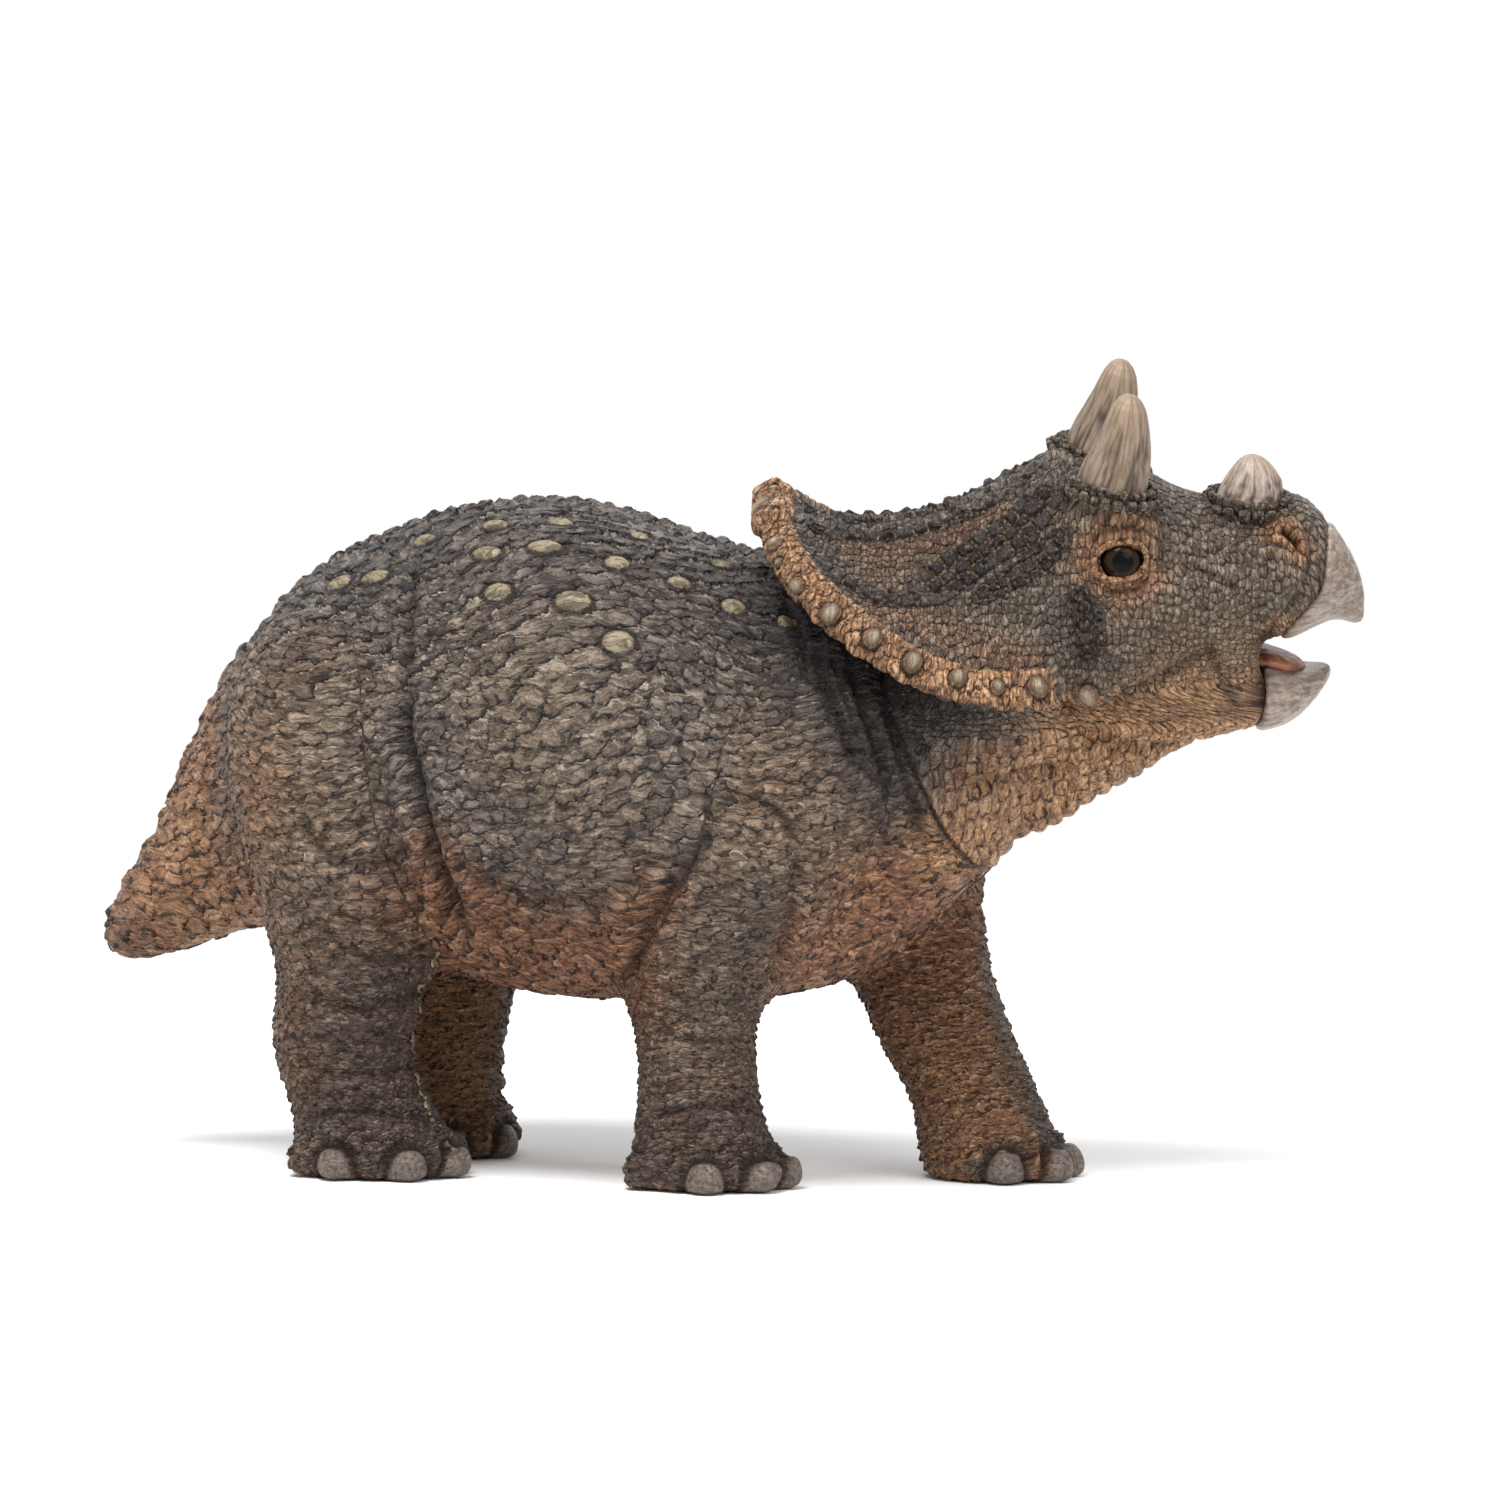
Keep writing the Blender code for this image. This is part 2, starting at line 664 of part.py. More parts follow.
def neck_form():
    """From the seam on the torso to inside the skull, turning from one frame to the other."""
    centre, forward, up = neck_frame()
    along, bottom, widest, top, half_width, _ = TORSO_SHARES[-1]
    seam = (BODY_WIDTH * half_width, BODY_HEIGHT * (top - widest), BODY_HEIGHT * (widest - bottom))
    ahead, wide, rise, drop = NECK_END_SHARES
    skull = (HEAD_WIDTH * wide, HEAD_HEIGHT * rise, HEAD_HEIGHT * drop)
    start = centre + forward * FIT_GAP
    end = head_shares(ahead, 0, 0)
    count = HEAD_SECTIONS // 2
    sections = []
    for k in range(count):
        t = k / (count - 1)
        run = forward.lerp(head_direction(1, 0, 0), t).normalized()
        top_way = up.lerp(head_direction(0, 0, 1), t)
        side = run.cross(top_way).normalized()
        sizes = [a + (b - a) * t for a, b in zip(seam, skull)]
        sections.append(section(
            start.lerp(end, t), side, side.cross(run), *sizes, TORSO_SIDES, TORSO_FULLNESS,
        ))
    return loft("neck", sections)


def neck_spigot(name, grow=0.0):
    centre, forward, _ = neck_frame()
    start = centre - forward * (NECK_SPIGOT_DEPTH + grow)
    return rod(name, start, centre + forward * OVERRUN, NECK_SPIGOT_RADIUS + grow)


def frill_point(place):
    back, aside, up = place
    return on_head(-FRILL_LENGTH * back, FRILL_WIDTH / 2 * aside, FRILL_HEIGHT * up)


def frill_rail(shares, count):
    """One rail across the whole frill, from its right corner over the top to its left."""
    half = smooth_rows(shares, count // 2 + 1)
    right = half * np.array((1, -1, 1))
    return [frill_point(place) for place in np.vstack([right[::-1], half[1:]])]


def frill_sheet():
    """The frill as an open saddle through three rails, thickened downwards."""
    root = frill_rail(FRILL_ROOT_SHARES, FRILL_COLUMNS)
    middle = frill_rail(FRILL_MIDDLE_SHARES, FRILL_COLUMNS)
    rim = frill_rail(FRILL_RIM_SHARES, FRILL_COLUMNS)
    shape = bmesh.new()
    grid = []
    for row in range(FRILL_ROWS):
        t = row / (FRILL_ROWS - 1)
        # The parabola through root, middle and rim.
        weights = ((1 - t) * (1 - 2 * t), 4 * t * (1 - t), t * (2 * t - 1))
        grid.append([
            shape.verts.new(a * weights[0] + b * weights[1] + c * weights[2])
            for a, b, c in zip(root, middle, rim)
        ])
    for near, far in zip(grid, grid[1:]):
        for k in range(len(near) - 1):
            shape.faces.new((near[k], near[k + 1], far[k + 1], far[k]))
    mesh = bpy.data.meshes.new("frill")
    shape.to_mesh(mesh)
    shape.free()
    sheet = mesh_object("frill_sheet", mesh, HELPERS)
    if sheet.data.polygons[0].normal.z < 0:
        sheet.data.flip_normals()
    solid = sheet.modifiers.new("thickness", "SOLIDIFY")
    solid.thickness = FRILL_THICKNESS
    solid.offset = -1
    return baked("frill", sheet)


def frill_rim():
    """The rolled edge of the frill, as a tube along its rim."""
    curve = bpy.data.curves.new("frill_rim", "CURVE")
    curve.dimensions = "3D"
    curve.bevel_depth = FRILL_RIM_RADIUS
    curve.bevel_resolution = 3
    curve.use_fill_caps = True
    path = frill_rail(FRILL_RIM_SHARES, FRILL_COLUMNS)
    line = curve.splines.new("POLY")
    line.points.add(len(path) - 1)
    for point, place in zip(line.points, path):
        point.co = (*place, 1)
    obj = bpy.data.objects.new("frill_rim_curve", curve)
    HELPERS.objects.link(obj)
    return welded(baked("frill_rim", obj))


def frill_studs():
    """Round studs in a row on the rim's outer face, and a ball that rounds each end of it."""
    path = frill_rail(FRILL_RIM_SHARES, STUD_COUNT * 8 + 1)
    middle = on_head(0, 0, FRILL_HEIGHT * STUD_CENTRE_SHARE)
    forward = head_direction(1, 0, 0)
    studs = []
    for k in range(STUD_COUNT):
        at = path[int((k + 0.5) * (len(path) - 1) / STUD_COUNT)]
        out = at - middle
        out -= forward * out.dot(forward) * STUD_SIDE_SHARE
        studs.append(ball(f"stud_{k}", at + out.normalized() * FRILL_RIM_RADIUS,
                          (STUD_RADIUS,) * 3, segments=8, rings=6))
    for k, at in enumerate((path[0], path[-1])):
        studs.append(ball(f"corner_{k}", at, (FRILL_RIM_RADIUS * FRILL_CORNER_SHARE,) * 3))
    return studs


def side_prism(name, outline, grow=0.0):
    """A side outline of the head made into a prism right across it."""
    reach = HEAD_WIDTH
    middle = np.mean(outline, axis=0)
    shape = bmesh.new()
    sides = []
    for aside in (-reach, reach):
        verts = []
        for forward, up in outline:
            away = Vector((forward * HEAD_LENGTH - middle[0] * HEAD_LENGTH,
                           up * HEAD_HEIGHT - middle[1] * HEAD_HEIGHT))
            away += away.normalized() * grow * BEAK_GROWTH_SHARE
            verts.append(shape.verts.new(on_head(
                middle[0] * HEAD_LENGTH + away.x, aside, middle[1] * HEAD_HEIGHT + away.y)))
        sides.append(verts)
    count = len(outline)
    for k in range(count):
        after = (k + 1) % count
        shape.faces.new((sides[0][k], sides[0][after], sides[1][after], sides[1][k]))
    shape.faces.new(sides[0][::-1])
    shape.faces.new(sides[1])
    bmesh.ops.recalc_face_normals(shape, faces=shape.faces)
    mesh = bpy.data.meshes.new(name)
    shape.to_mesh(mesh)
    shape.free()
    return mesh_object(name, mesh, HELPERS)


def horn_form(name, base, lean, length, radius, outline, grow=0.0):
    """A blunt horn on a peg. With grow it is the socket that the horn's foot needs."""
    out = head_direction(math.sin(lean), 0, math.cos(lean))
    side = head_direction(0, -1, 0)
    front = side.cross(out)
    rows = [(-HORN_PEG_DEPTH - grow, radius + grow)]
    for height, wide in smooth_rows(outline, SMALL_SECTIONS + 4):
        rows.append((length * height, radius * wide + grow))
    sections = [
        section(base + out * height, side, front, size, size, size, SMALL_SIDES)
        for height, size in rows
    ]
    return loft(name, sections)


def horn_boss(name, base, lean, radius):
    """The swelling of skin that a horn stands on, with a rolled collar round its top."""
    out = head_direction(math.sin(lean), 0, math.cos(lean))
    side = head_direction(0, -1, 0)
    front = side.cross(out)
    outer = radius + FIT_GAP + HORN_COLLAR_RADIUS
    rows = [(HORN_BOSS_HEIGHT * down, outer * wide) for down, wide in HORN_BOSS_SHARES]
    for k in range(COLLAR_STEPS + 1):
        angle = k / COLLAR_STEPS * math.pi / 2
        rows.append((HORN_COLLAR_RADIUS * (math.sin(angle) - HORN_COLLAR_SINK_SHARE),
                     outer - HORN_COLLAR_RADIUS * (1 - math.cos(angle))))
    sections = [
        section(base + out * height, side, front, size, size, size, SMALL_SIDES * 3 // 2)
        for height, size in rows
    ]
    return loft(name, sections)


def brow_horn_base(side):
    forward, up = BROW_HORN_SHARES
    return on_head(HEAD_LENGTH * forward, side * BROW_HORN_SPREAD / 2, HEAD_HEIGHT * up)


def nose_horn_base():
    return head_shares(NOSE_HORN_SHARES[0], 0, NOSE_HORN_SHARES[1])


def brow_horn_form(name, side, grow=0.0):
    return horn_form(name, brow_horn_base(side), BROW_HORN_LEAN, BROW_HORN_LENGTH,
                     BROW_HORN_RADIUS, BROW_HORN_OUTLINE_SHARES, grow)


def nose_horn_form(name, grow=0.0):
    return horn_form(name, nose_horn_base(), NOSE_HORN_LEAN, NOSE_HORN_LENGTH,
                     NOSE_HORN_RADIUS, NOSE_HORN_OUTLINE_SHARES, grow)


def eye_place(side):
    return head_shares(EYE_SHARES[0], side * EYE_SHARES[1], EYE_SHARES[2])


def tongue_form(name, grow=0.0):
    """A flat tongue whose root lies in the mouth's back wall."""
    forward, up = TONGUE_SHARES
    sections = []
    for along, wide, thick in smooth_rows(TONGUE_OUTLINE_SHARES, SMALL_SECTIONS):
        centre = on_head(HEAD_LENGTH * forward + TONGUE_LENGTH * along, 0, HEAD_HEIGHT * up)
        sections.append(section(
            centre, head_direction(0, -1, 0), head_direction(0, 0, 1),
            TONGUE_WIDTH / 2 * wide + grow, TONGUE_THICKNESS / 2 * thick + grow,
            TONGUE_THICKNESS / 2 * thick + grow, SMALL_SIDES,
        ))
    return loft(name, sections)


def beak_peg(name, shares, grow=0.0):
    start = head_shares(shares[0], 0, shares[1])
    inward = head_direction(-1, 0, 0)
    return rod(name, start - inward * BEAK_PEG_DEPTH,
               start + inward * (BEAK_PEG_DEPTH + grow), BEAK_PEG_RADIUS + grow, 12)


def build_torso():
    torso = torso_form("torso")
    sockets = [neck_spigot("neck_socket", FIT_GAP), tail_spigot("tail_socket", FIT_GAP)]
    sockets += [leg_spigot(name, FIT_GAP) for name in LEG_SHARES]
    return finish(combine(torso, "DIFFERENCE", sockets), "body", SKIN)


def build_legs():
    torso = torso_form("torso_clearance", FIT_GAP)
    floor = floor_cutter()
    for name in LEG_SHARES:
        leg = combine(leg_form(name), "UNION", toe_forms(name))
        leg = largest_body(combine(leg, "DIFFERENCE", [torso, floor]))
        leg = combine(leg, "UNION", [leg_spigot(name)])
        finish(leg, name, SKIN)


def build_tail():
    tools = [torso_form("rump_clearance", FIT_GAP)]
    tools += [leg_form(name, FIT_GAP) for name in LEG_SHARES if "hind" in name]
    tail = largest_body(combine(tail_form("tail_form"), "DIFFERENCE", tools))
    finish(combine(tail, "UNION", [tail_spigot("tail_spigot")]), "tail", SKIN)


def build_beaks():
    for name, table, outline, peg in (
        ("upper_beak", UPPER_JAW_SHARES, UPPER_BEAK_SHARES, UPPER_PEG_SHARES),
        ("lower_beak", LOWER_JAW_SHARES, LOWER_BEAK_SHARES, LOWER_PEG_SHARES),
    ):
        beak = combine(head_form(name + "_form", table), "INTERSECT",
                       [side_prism(name + "_prism", outline)])
        beak = largest_body(combine(beak, "DIFFERENCE", [tongue_form("tongue_rest", FIT_GAP)]))
        finish(combine(beak, "UNION", [beak_peg(name + "_peg", peg)]), name, BEAK)


def head_swellings(name, place, radius_shares):
    """A pair of ellipsoids, one on each side of the head."""
    forward, aside, up = place
    sizes = (HEAD_LENGTH, HEAD_WIDTH, HEAD_HEIGHT)
    radii = [size * share for size, share in zip(sizes, radius_shares)]
    return [
        ball(f"{name}_{side}", head_shares(forward, side * aside, up), radii, 16, 12,
             turn=head_place().to_3x3())
        for side in (-1, 1)
    ]


def build_head():
    head = head_form("skull", SKULL_SHARES)
    jaws = [head_form("upper_jaw", UPPER_JAW_SHARES), head_form("lower_jaw", LOWER_JAW_SHARES)]
    prisms = [
        side_prism("upper_cut", UPPER_BEAK_SHARES, FIT_GAP),
        side_prism("lower_cut", LOWER_BEAK_SHARES, FIT_GAP),
    ]
    jaws = [combine(jaw, "DIFFERENCE", [prism]) for jaw, prism in zip(jaws, prisms)]
    bosses = [
        horn_boss(f"boss_{side}", brow_horn_base(side), BROW_HORN_LEAN, BROW_HORN_RADIUS)
        for side in (-1, 1)
    ]
    bosses.append(horn_boss("nose_boss", nose_horn_base(), NOSE_HORN_LEAN, NOSE_HORN_RADIUS))
    brows = head_swellings("brow", BROW_SWELL_SHARES, BROW_RADIUS_SHARES)
    cheeks = head_swellings("cheek", CHEEK_SHARES, CHEEK_RADIUS_SHARES)
    forward, aside, up = CHEEK_KNOB_SHARES
    knobs = [
        ball(f"knob_{side}", head_shares(forward, side * aside, up), (CHEEK_KNOB_RADIUS,) * 3)
        for side in (-1, 1)
    ]
    throat = head_form("throat", THROAT_SHARES)
    forms = [neck_form(), throat, *jaws, frill_sheet(), frill_rim(), *frill_studs(), *brows,
             *bosses, *cheeks, *knobs]
    # The many shallow crossings of these forms leave open edges with the exact solver.
    head = combine(head, "UNION", forms, solver="MANIFOLD")
    cuts = [
        brow_horn_form(f"brow_socket_{side}", side, FIT_GAP) for side in (-1, 1)
    ]
    cuts.append(nose_horn_form("nose_socket", FIT_GAP))
    cuts += [ball(f"eye_socket_{side}", eye_place(side), (EYE_RADIUS + FIT_GAP,) * 3, 16, 10)
             for side in (-1, 1)]
    cuts.append(tongue_form("tongue_socket", FIT_GAP))
    cuts.append(beak_peg("upper_peg_hole", UPPER_PEG_SHARES, FIT_GAP))
    cuts.append(beak_peg("lower_peg_hole", LOWER_PEG_SHARES, FIT_GAP))
    cuts += [leg_form(name, FIT_GAP) for name in LEG_SHARES if "front" in name]
    cuts.append(torso_form("shoulder_clearance", FIT_GAP))
    head = largest_body(combine(head, "DIFFERENCE", cuts, solver="MANIFOLD"))
    head = combine(head, "UNION", [neck_spigot("neck_spigot")], solver="MANIFOLD")
    finish(head, "head", SKIN)


def build_small_pieces():
    for word, side in (("right", -1), ("left", 1)):
        finish(brow_horn_form(f"brow_form_{word}", side), f"brow_horn_{word}", HORN)
        finish(ball(f"eye_form_{word}", eye_place(side), (EYE_RADIUS,) * 3, 16, 10),
               f"eye_{word}", GLOSS)
    finish(nose_horn_form("nose_form"), "nose_horn", HORN)
    finish(tongue_form("tongue_form"), "tongue", FLESH)


def centre_on_origin():
    """Moves the figure so that its bounding box stands centred on the origin."""
    bpy.context.view_layer.update()
    corners = np.array([
        obj.matrix_world @ vert.co for obj in FIGURE.objects for vert in obj.data.vertices
    ])
    low, high = corners.min(0), corners.max(0)
    shift = Matrix.Translation((-(low[0] + high[0]) / 2, -(low[1] + high[1]) / 2, -low[2]))
    for obj in FIGURE.objects:
        obj.matrix_world = shift @ obj.matrix_world


def main():
    build_torso()
    build_legs()
    build_tail()
    build_beaks()
    build_head()
    build_small_pieces()
    centre_on_origin()
    for obj in HELPERS.objects:
        obj.hide_render = True
        obj.display_type = "WIRE"


main()
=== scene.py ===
"""Toy horned dinosaur: the painted skin, horns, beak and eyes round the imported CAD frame.

The skin pieces start as one smooth blend of the CAD solids. Folds, scales and bumps are
pressed into it, then it is parted again into one closed piece for each CAD node.
Lengths are in metres, and in millimetres where a comment says so. Places read off the
photograph are pixels of its 1500 px frame, and a ray from the camera carries each of them
onto the skin.
"""
import json
import math

import bpy
import numpy as np
import openvdb as vdb
from mathutils import Matrix, Vector
from mathutils.bvhtree import BVHTree

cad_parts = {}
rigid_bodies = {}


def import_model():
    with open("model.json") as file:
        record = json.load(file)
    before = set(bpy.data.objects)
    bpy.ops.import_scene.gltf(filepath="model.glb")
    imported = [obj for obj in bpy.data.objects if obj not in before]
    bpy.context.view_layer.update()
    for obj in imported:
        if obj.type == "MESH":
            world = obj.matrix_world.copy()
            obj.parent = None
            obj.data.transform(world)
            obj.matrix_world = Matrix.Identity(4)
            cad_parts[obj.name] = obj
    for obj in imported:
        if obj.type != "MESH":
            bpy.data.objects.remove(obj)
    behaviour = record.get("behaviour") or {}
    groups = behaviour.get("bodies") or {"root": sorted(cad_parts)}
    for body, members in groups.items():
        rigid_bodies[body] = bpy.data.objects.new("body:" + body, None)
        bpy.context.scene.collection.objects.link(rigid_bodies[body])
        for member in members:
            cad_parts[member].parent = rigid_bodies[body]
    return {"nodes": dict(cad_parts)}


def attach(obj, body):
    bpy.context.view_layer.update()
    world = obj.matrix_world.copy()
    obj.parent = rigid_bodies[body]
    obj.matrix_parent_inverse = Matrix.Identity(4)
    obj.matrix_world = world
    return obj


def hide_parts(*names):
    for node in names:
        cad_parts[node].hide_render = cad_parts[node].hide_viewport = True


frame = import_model()
for name in ("Cube", "Light", "Camera"):
    if name in bpy.data.objects:
        bpy.data.objects.remove(bpy.data.objects[name])
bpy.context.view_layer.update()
MM = 0.001
RANDOM = np.random.default_rng(7)

# The frame of the head: forward, left and up as the pose turns them
HEAD_ORIGIN = Vector((0.031888, 0.001321, 0.057975))
HEAD_YAW, HEAD_ROLL = math.radians(18), math.radians(12)
HEAD_AXES = np.array(Matrix.Rotation(HEAD_YAW, 3, "Z") @ Matrix.Rotation(HEAD_ROLL, 3, "X"))
MIDDLE_Y = -0.000179
NECK_CENTRE = np.array((0.025588, -0.000179, 0.049175))
NECK_RISE = math.radians(18)
NECK_AHEAD = np.array((math.cos(NECK_RISE), 0, math.sin(NECK_RISE)))

# The photograph's camera
PHOTO_SIDE = 1500
PIXEL = 0.104e-3
DISTANCE = 1.2
TARGET = np.array((0.005188, -0.000179, 0.04446))
AZIMUTH, ELEVATION = math.radians(18), math.radians(4.85)
BACK = np.array((math.sin(AZIMUTH) * math.cos(ELEVATION),
                 -math.cos(AZIMUTH) * math.cos(ELEVATION), math.sin(ELEVATION)))
RIGHT = np.array((math.cos(AZIMUTH), math.sin(AZIMUTH), 0.0))
UP = np.cross(BACK, RIGHT)
EYE_POINT = TARGET + BACK * DISTANCE

# Volume grids of the skin and of the small pieces: cell, cells of distance kept, cells of margin
VOXEL, BAND, MARGIN = 0.56 * MM, 12, 14
FINE_VOXEL, FINE_BAND, FINE_MARGIN = 0.2 * MM, 5, 7
SKIN_NODES = ("body", "tail", "head", "leg_hind_right", "leg_hind_left", "leg_front_right",
              "leg_front_left")


# Helpers

def smooth(x, low, high):
    """A smooth step from 0 at low to 1 at high."""
    t = np.clip((x - low) / (high - low), 0, 1)
    return t * t * (3 - 2 * t)


def bell(x, middle, width):
    """1 at the middle, falling to nothing a few widths away."""
    return np.exp(-((x - middle) / width) ** 2)


def blur(field, times):
    for _ in range(times):
        for axis in range(3):
            ahead, behind = np.roll(field, 1, axis), np.roll(field, -1, axis)
            field = 0.5 * field + 0.25 * (ahead + behind)
    return field


def soft_min(a, b, k):
    """The smaller of two fields, rounded where they are nearer than k."""
    h = np.maximum(k - np.abs(a - b), 0) / k
    return np.minimum(a, b) - h * h * k / 4


def points_of(mesh):
    points = np.empty(len(mesh.vertices) * 3, np.float32)
    mesh.vertices.foreach_get("co", points)
    return points.reshape(-1, 3)


def move_points(mesh, points):
    mesh.vertices.foreach_set("co", np.asarray(points, np.float32).ravel())
    mesh.update()


def triangles_of(mesh):
    mesh.calc_loop_triangles()
    faces = np.empty(len(mesh.loop_triangles) * 3, np.int32)
    mesh.loop_triangles.foreach_get("vertices", faces)
    return faces.reshape(-1, 3)


def quads_of(mesh):
    faces = np.empty(len(mesh.loops), np.int32)
    mesh.loops.foreach_get("vertex_index", faces)
    return faces.reshape(-1, 4)


def edges_of(mesh):
    edges = np.empty(len(mesh.edges) * 2, np.int32)
    mesh.edges.foreach_get("vertices", edges)
    return edges.reshape(-1, 2)


def normals_of(mesh):
    normals = np.empty(len(mesh.vertices) * 3, np.float32)
    mesh.vertex_normals.foreach_get("vector", normals)
    return normals.reshape(-1, 3).astype(float)


def new_mesh(name, points, faces):
    """A mesh from an array of points and a list of face arrays, each with its own count of corners."""
    mesh = bpy.data.meshes.new(name)
    corners = np.concatenate([np.asarray(f, np.int32).ravel() for f in faces])
    counts = np.concatenate([np.full(len(f), f.shape[1]) for f in faces])
    starts = np.concatenate([[0], np.cumsum(counts)[:-1]]).astype(np.int32)
    mesh.vertices.add(len(points))
    mesh.vertices.foreach_set("co", np.asarray(points, np.float32).ravel())
    mesh.loops.add(len(corners))
    mesh.loops.foreach_set("vertex_index", corners)
    mesh.polygons.add(len(counts))
    mesh.polygons.foreach_set("loop_start", starts)
    mesh.update(calc_edges=True)
    mesh.polygons.foreach_set("use_smooth", np.ones(len(counts), bool))
    return mesh


def ring_faces(rows, columns):
    """Faces over rows of points in rings, closed at each end to one of two last points."""
    index = np.arange(rows * columns).reshape(rows, columns)
    right = np.roll(index, -1, 1)
    low, high = rows * columns, rows * columns + 1
    quads = np.stack([index[:-1], right[:-1], right[1:], index[1:]], 2).reshape(-1, 4)
    bottom = np.stack([right[0], index[0], np.full(columns, low)], 1)
    top = np.stack([index[-1], right[-1], np.full(columns, high)], 1)
    return [quads, bottom, top]


def new_object(name, mesh):
    obj = bpy.data.objects.new(name, mesh)
    bpy.context.scene.collection.objects.link(obj)
    return obj


def piece(name, mesh, node):
    obj = new_object(name, mesh)
    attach(obj, "root")
    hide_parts(node)


def vector_attribute(mesh, name, values):
    data = mesh.attributes.new(name, "FLOAT_VECTOR", "POINT").data
    data.foreach_set("vector", np.asarray(values, np.float32).ravel())


def relaxed(values, edges, times, keep=0.5):
    """Values at the points, each moved towards the mean of its neighbours."""
    count = np.bincount(edges.ravel(), minlength=len(values))[:, None]
    for _ in range(times):
        total = np.stack([
            np.bincount(edges[:, 0], values[edges[:, 1], k], len(values))
            + np.bincount(edges[:, 1], values[edges[:, 0], k], len(values))
            for k in range(values.shape[1])
        ], 1)
        values = values * keep + total / np.maximum(count, 1) * (1 - keep)
    return values


# Textures read at points, by the same nodes that the materials use

def texture(kind, coords, outputs, **settings):
    """What a texture node gives at each row of coords, as one array for each output."""
    tree = bpy.data.node_groups.new("sample", "GeometryNodeTree")
    for way in ("INPUT", "OUTPUT"):
        tree.interface.new_socket("Geometry", in_out=way, socket_type="NodeSocketGeometry")
    start, end = tree.nodes.new("NodeGroupInput"), tree.nodes.new("NodeGroupOutput")
    node = tree.nodes.new(kind)
    for key, value in settings.items():
        if key in node.inputs:
            node.inputs[key].default_value = value
        else:
            setattr(node, key, value)
    place = tree.nodes.new("GeometryNodeInputPosition")
    tree.links.new(place.outputs[0], node.inputs["Vector"])
    last = start.outputs[0]
    for output in outputs:
        store = tree.nodes.new("GeometryNodeStoreNamedAttribute")
        wide = node.outputs[output].type in ("RGBA", "VECTOR")
        store.data_type = "FLOAT_VECTOR" if wide else "FLOAT"
        store.inputs["Name"].default_value = "out_" + output
        tree.links.new(last, store.inputs["Geometry"])
        tree.links.new(node.outputs[output], store.inputs["Value"])
        last = store.outputs[0]
    tree.links.new(last, end.inputs[0])
    mesh = bpy.data.meshes.new("sample")
    mesh.vertices.add(len(coords))
    move_points(mesh, coords)
    obj = new_object("work", mesh)
    obj.modifiers.new("sample", "NODES").node_group = tree
    graph = bpy.context.evaluated_depsgraph_get()
    made = bpy.data.meshes.new_from_object(obj.evaluated_get(graph))
    bpy.data.objects.remove(obj)
    results = []
    for output in outputs:
        attribute = made.attributes["out_" + output]
        wide = attribute.data_type == "FLOAT_VECTOR"
        values = np.empty(len(coords) * (3 if wide else 1), np.float32)
        attribute.data.foreach_get("vector" if wide else "value", values)
        results.append((values.reshape(-1, 3) if wide else values).astype(float))
    bpy.data.meshes.remove(made)
    bpy.data.node_groups.remove(tree)
    return results


def noise(coords, size, detail=2.0):
    """Smooth noise of about -1 to 1 over features of the given size."""
    value, = texture("ShaderNodeTexNoise", coords / size, ["Fac"], Detail=detail, Scale=1.0)
    return (value - 0.5) * 2


def noise_vector(size, detail, offsets):
    """Three noises over the skin, as the columns of one array."""
    return np.stack([noise(POINTS + offset * MM, size * MM, detail) for offset in offsets], 1)


# The smooth base skin

def grid_limits(points, voxel, margin):
    """The first index and the shape of a grid that holds the points."""
    low = np.floor(points.min(0) / voxel).astype(int) - margin
    high = np.ceil(points.max(0) / voxel).astype(int) + margin
    return low, high - low + 1


def distance_field(mesh, low, shape, voxel=VOXEL, band=BAND):
    """Signed distance from a closed mesh on a grid, in metres."""
    grid = vdb.FloatGrid.createLevelSetFromPolygons(
        points_of(mesh), triangles=triangles_of(mesh).astype(np.uint32),
        transform=vdb.createLinearTransform(voxel), halfWidth=float(band))
    field = np.full(shape, band * voxel, np.float32)
    grid.copyToArray(field, ijk=tuple(int(v) for v in low))
    return field


def level_sets():
    """The distance field of each skin node on one shared grid, and the grid's first index."""
    meshes = {name: frame["nodes"][name].data for name in SKIN_NODES}
    points = np.vstack([points_of(mesh) for mesh in meshes.values()])
    low, shape = grid_limits(points, VOXEL, MARGIN)
    return {name: distance_field(mesh, low, shape) for name, mesh in meshes.items()}, low


def surface(field, low, voxel=VOXEL):
    """Points and quads of the field's zero surface."""
    grid = vdb.FloatGrid(float(np.abs(field).max()))
    grid.copyFromArray(np.ascontiguousarray(field, np.float32), ijk=tuple(int(v) for v in low))
    grid.transform = vdb.createLinearTransform(voxel)
    points, quads = grid.convertToQuads(isovalue=0.0)
    return np.array(points), np.array(quads).astype(np.int32)


def outer_body(points, quads):
    """Only the largest connected body, with its faces turned outwards."""
    label = np.arange(len(points))
    while True:
        best = label[quads].min(1)
        after = label.copy()
        np.minimum.at(after, quads.ravel(), np.repeat(best, 4))
        after = after[after]
        if (after == label).all():
            break
        label = after
    kept = label == np.bincount(label).argmax()
    index = np.cumsum(kept) - 1
    points, quads = points[kept], index[quads[kept[quads[:, 0]]]]
    a, b, c, d = (points[quads[:, k]] for k in range(4))
    if np.einsum("ij,ij->", np.cross(c - a, d - b), (a + b + c + d) / 4) < 0:
        quads = quads[:, ::-1]
    return points, quads


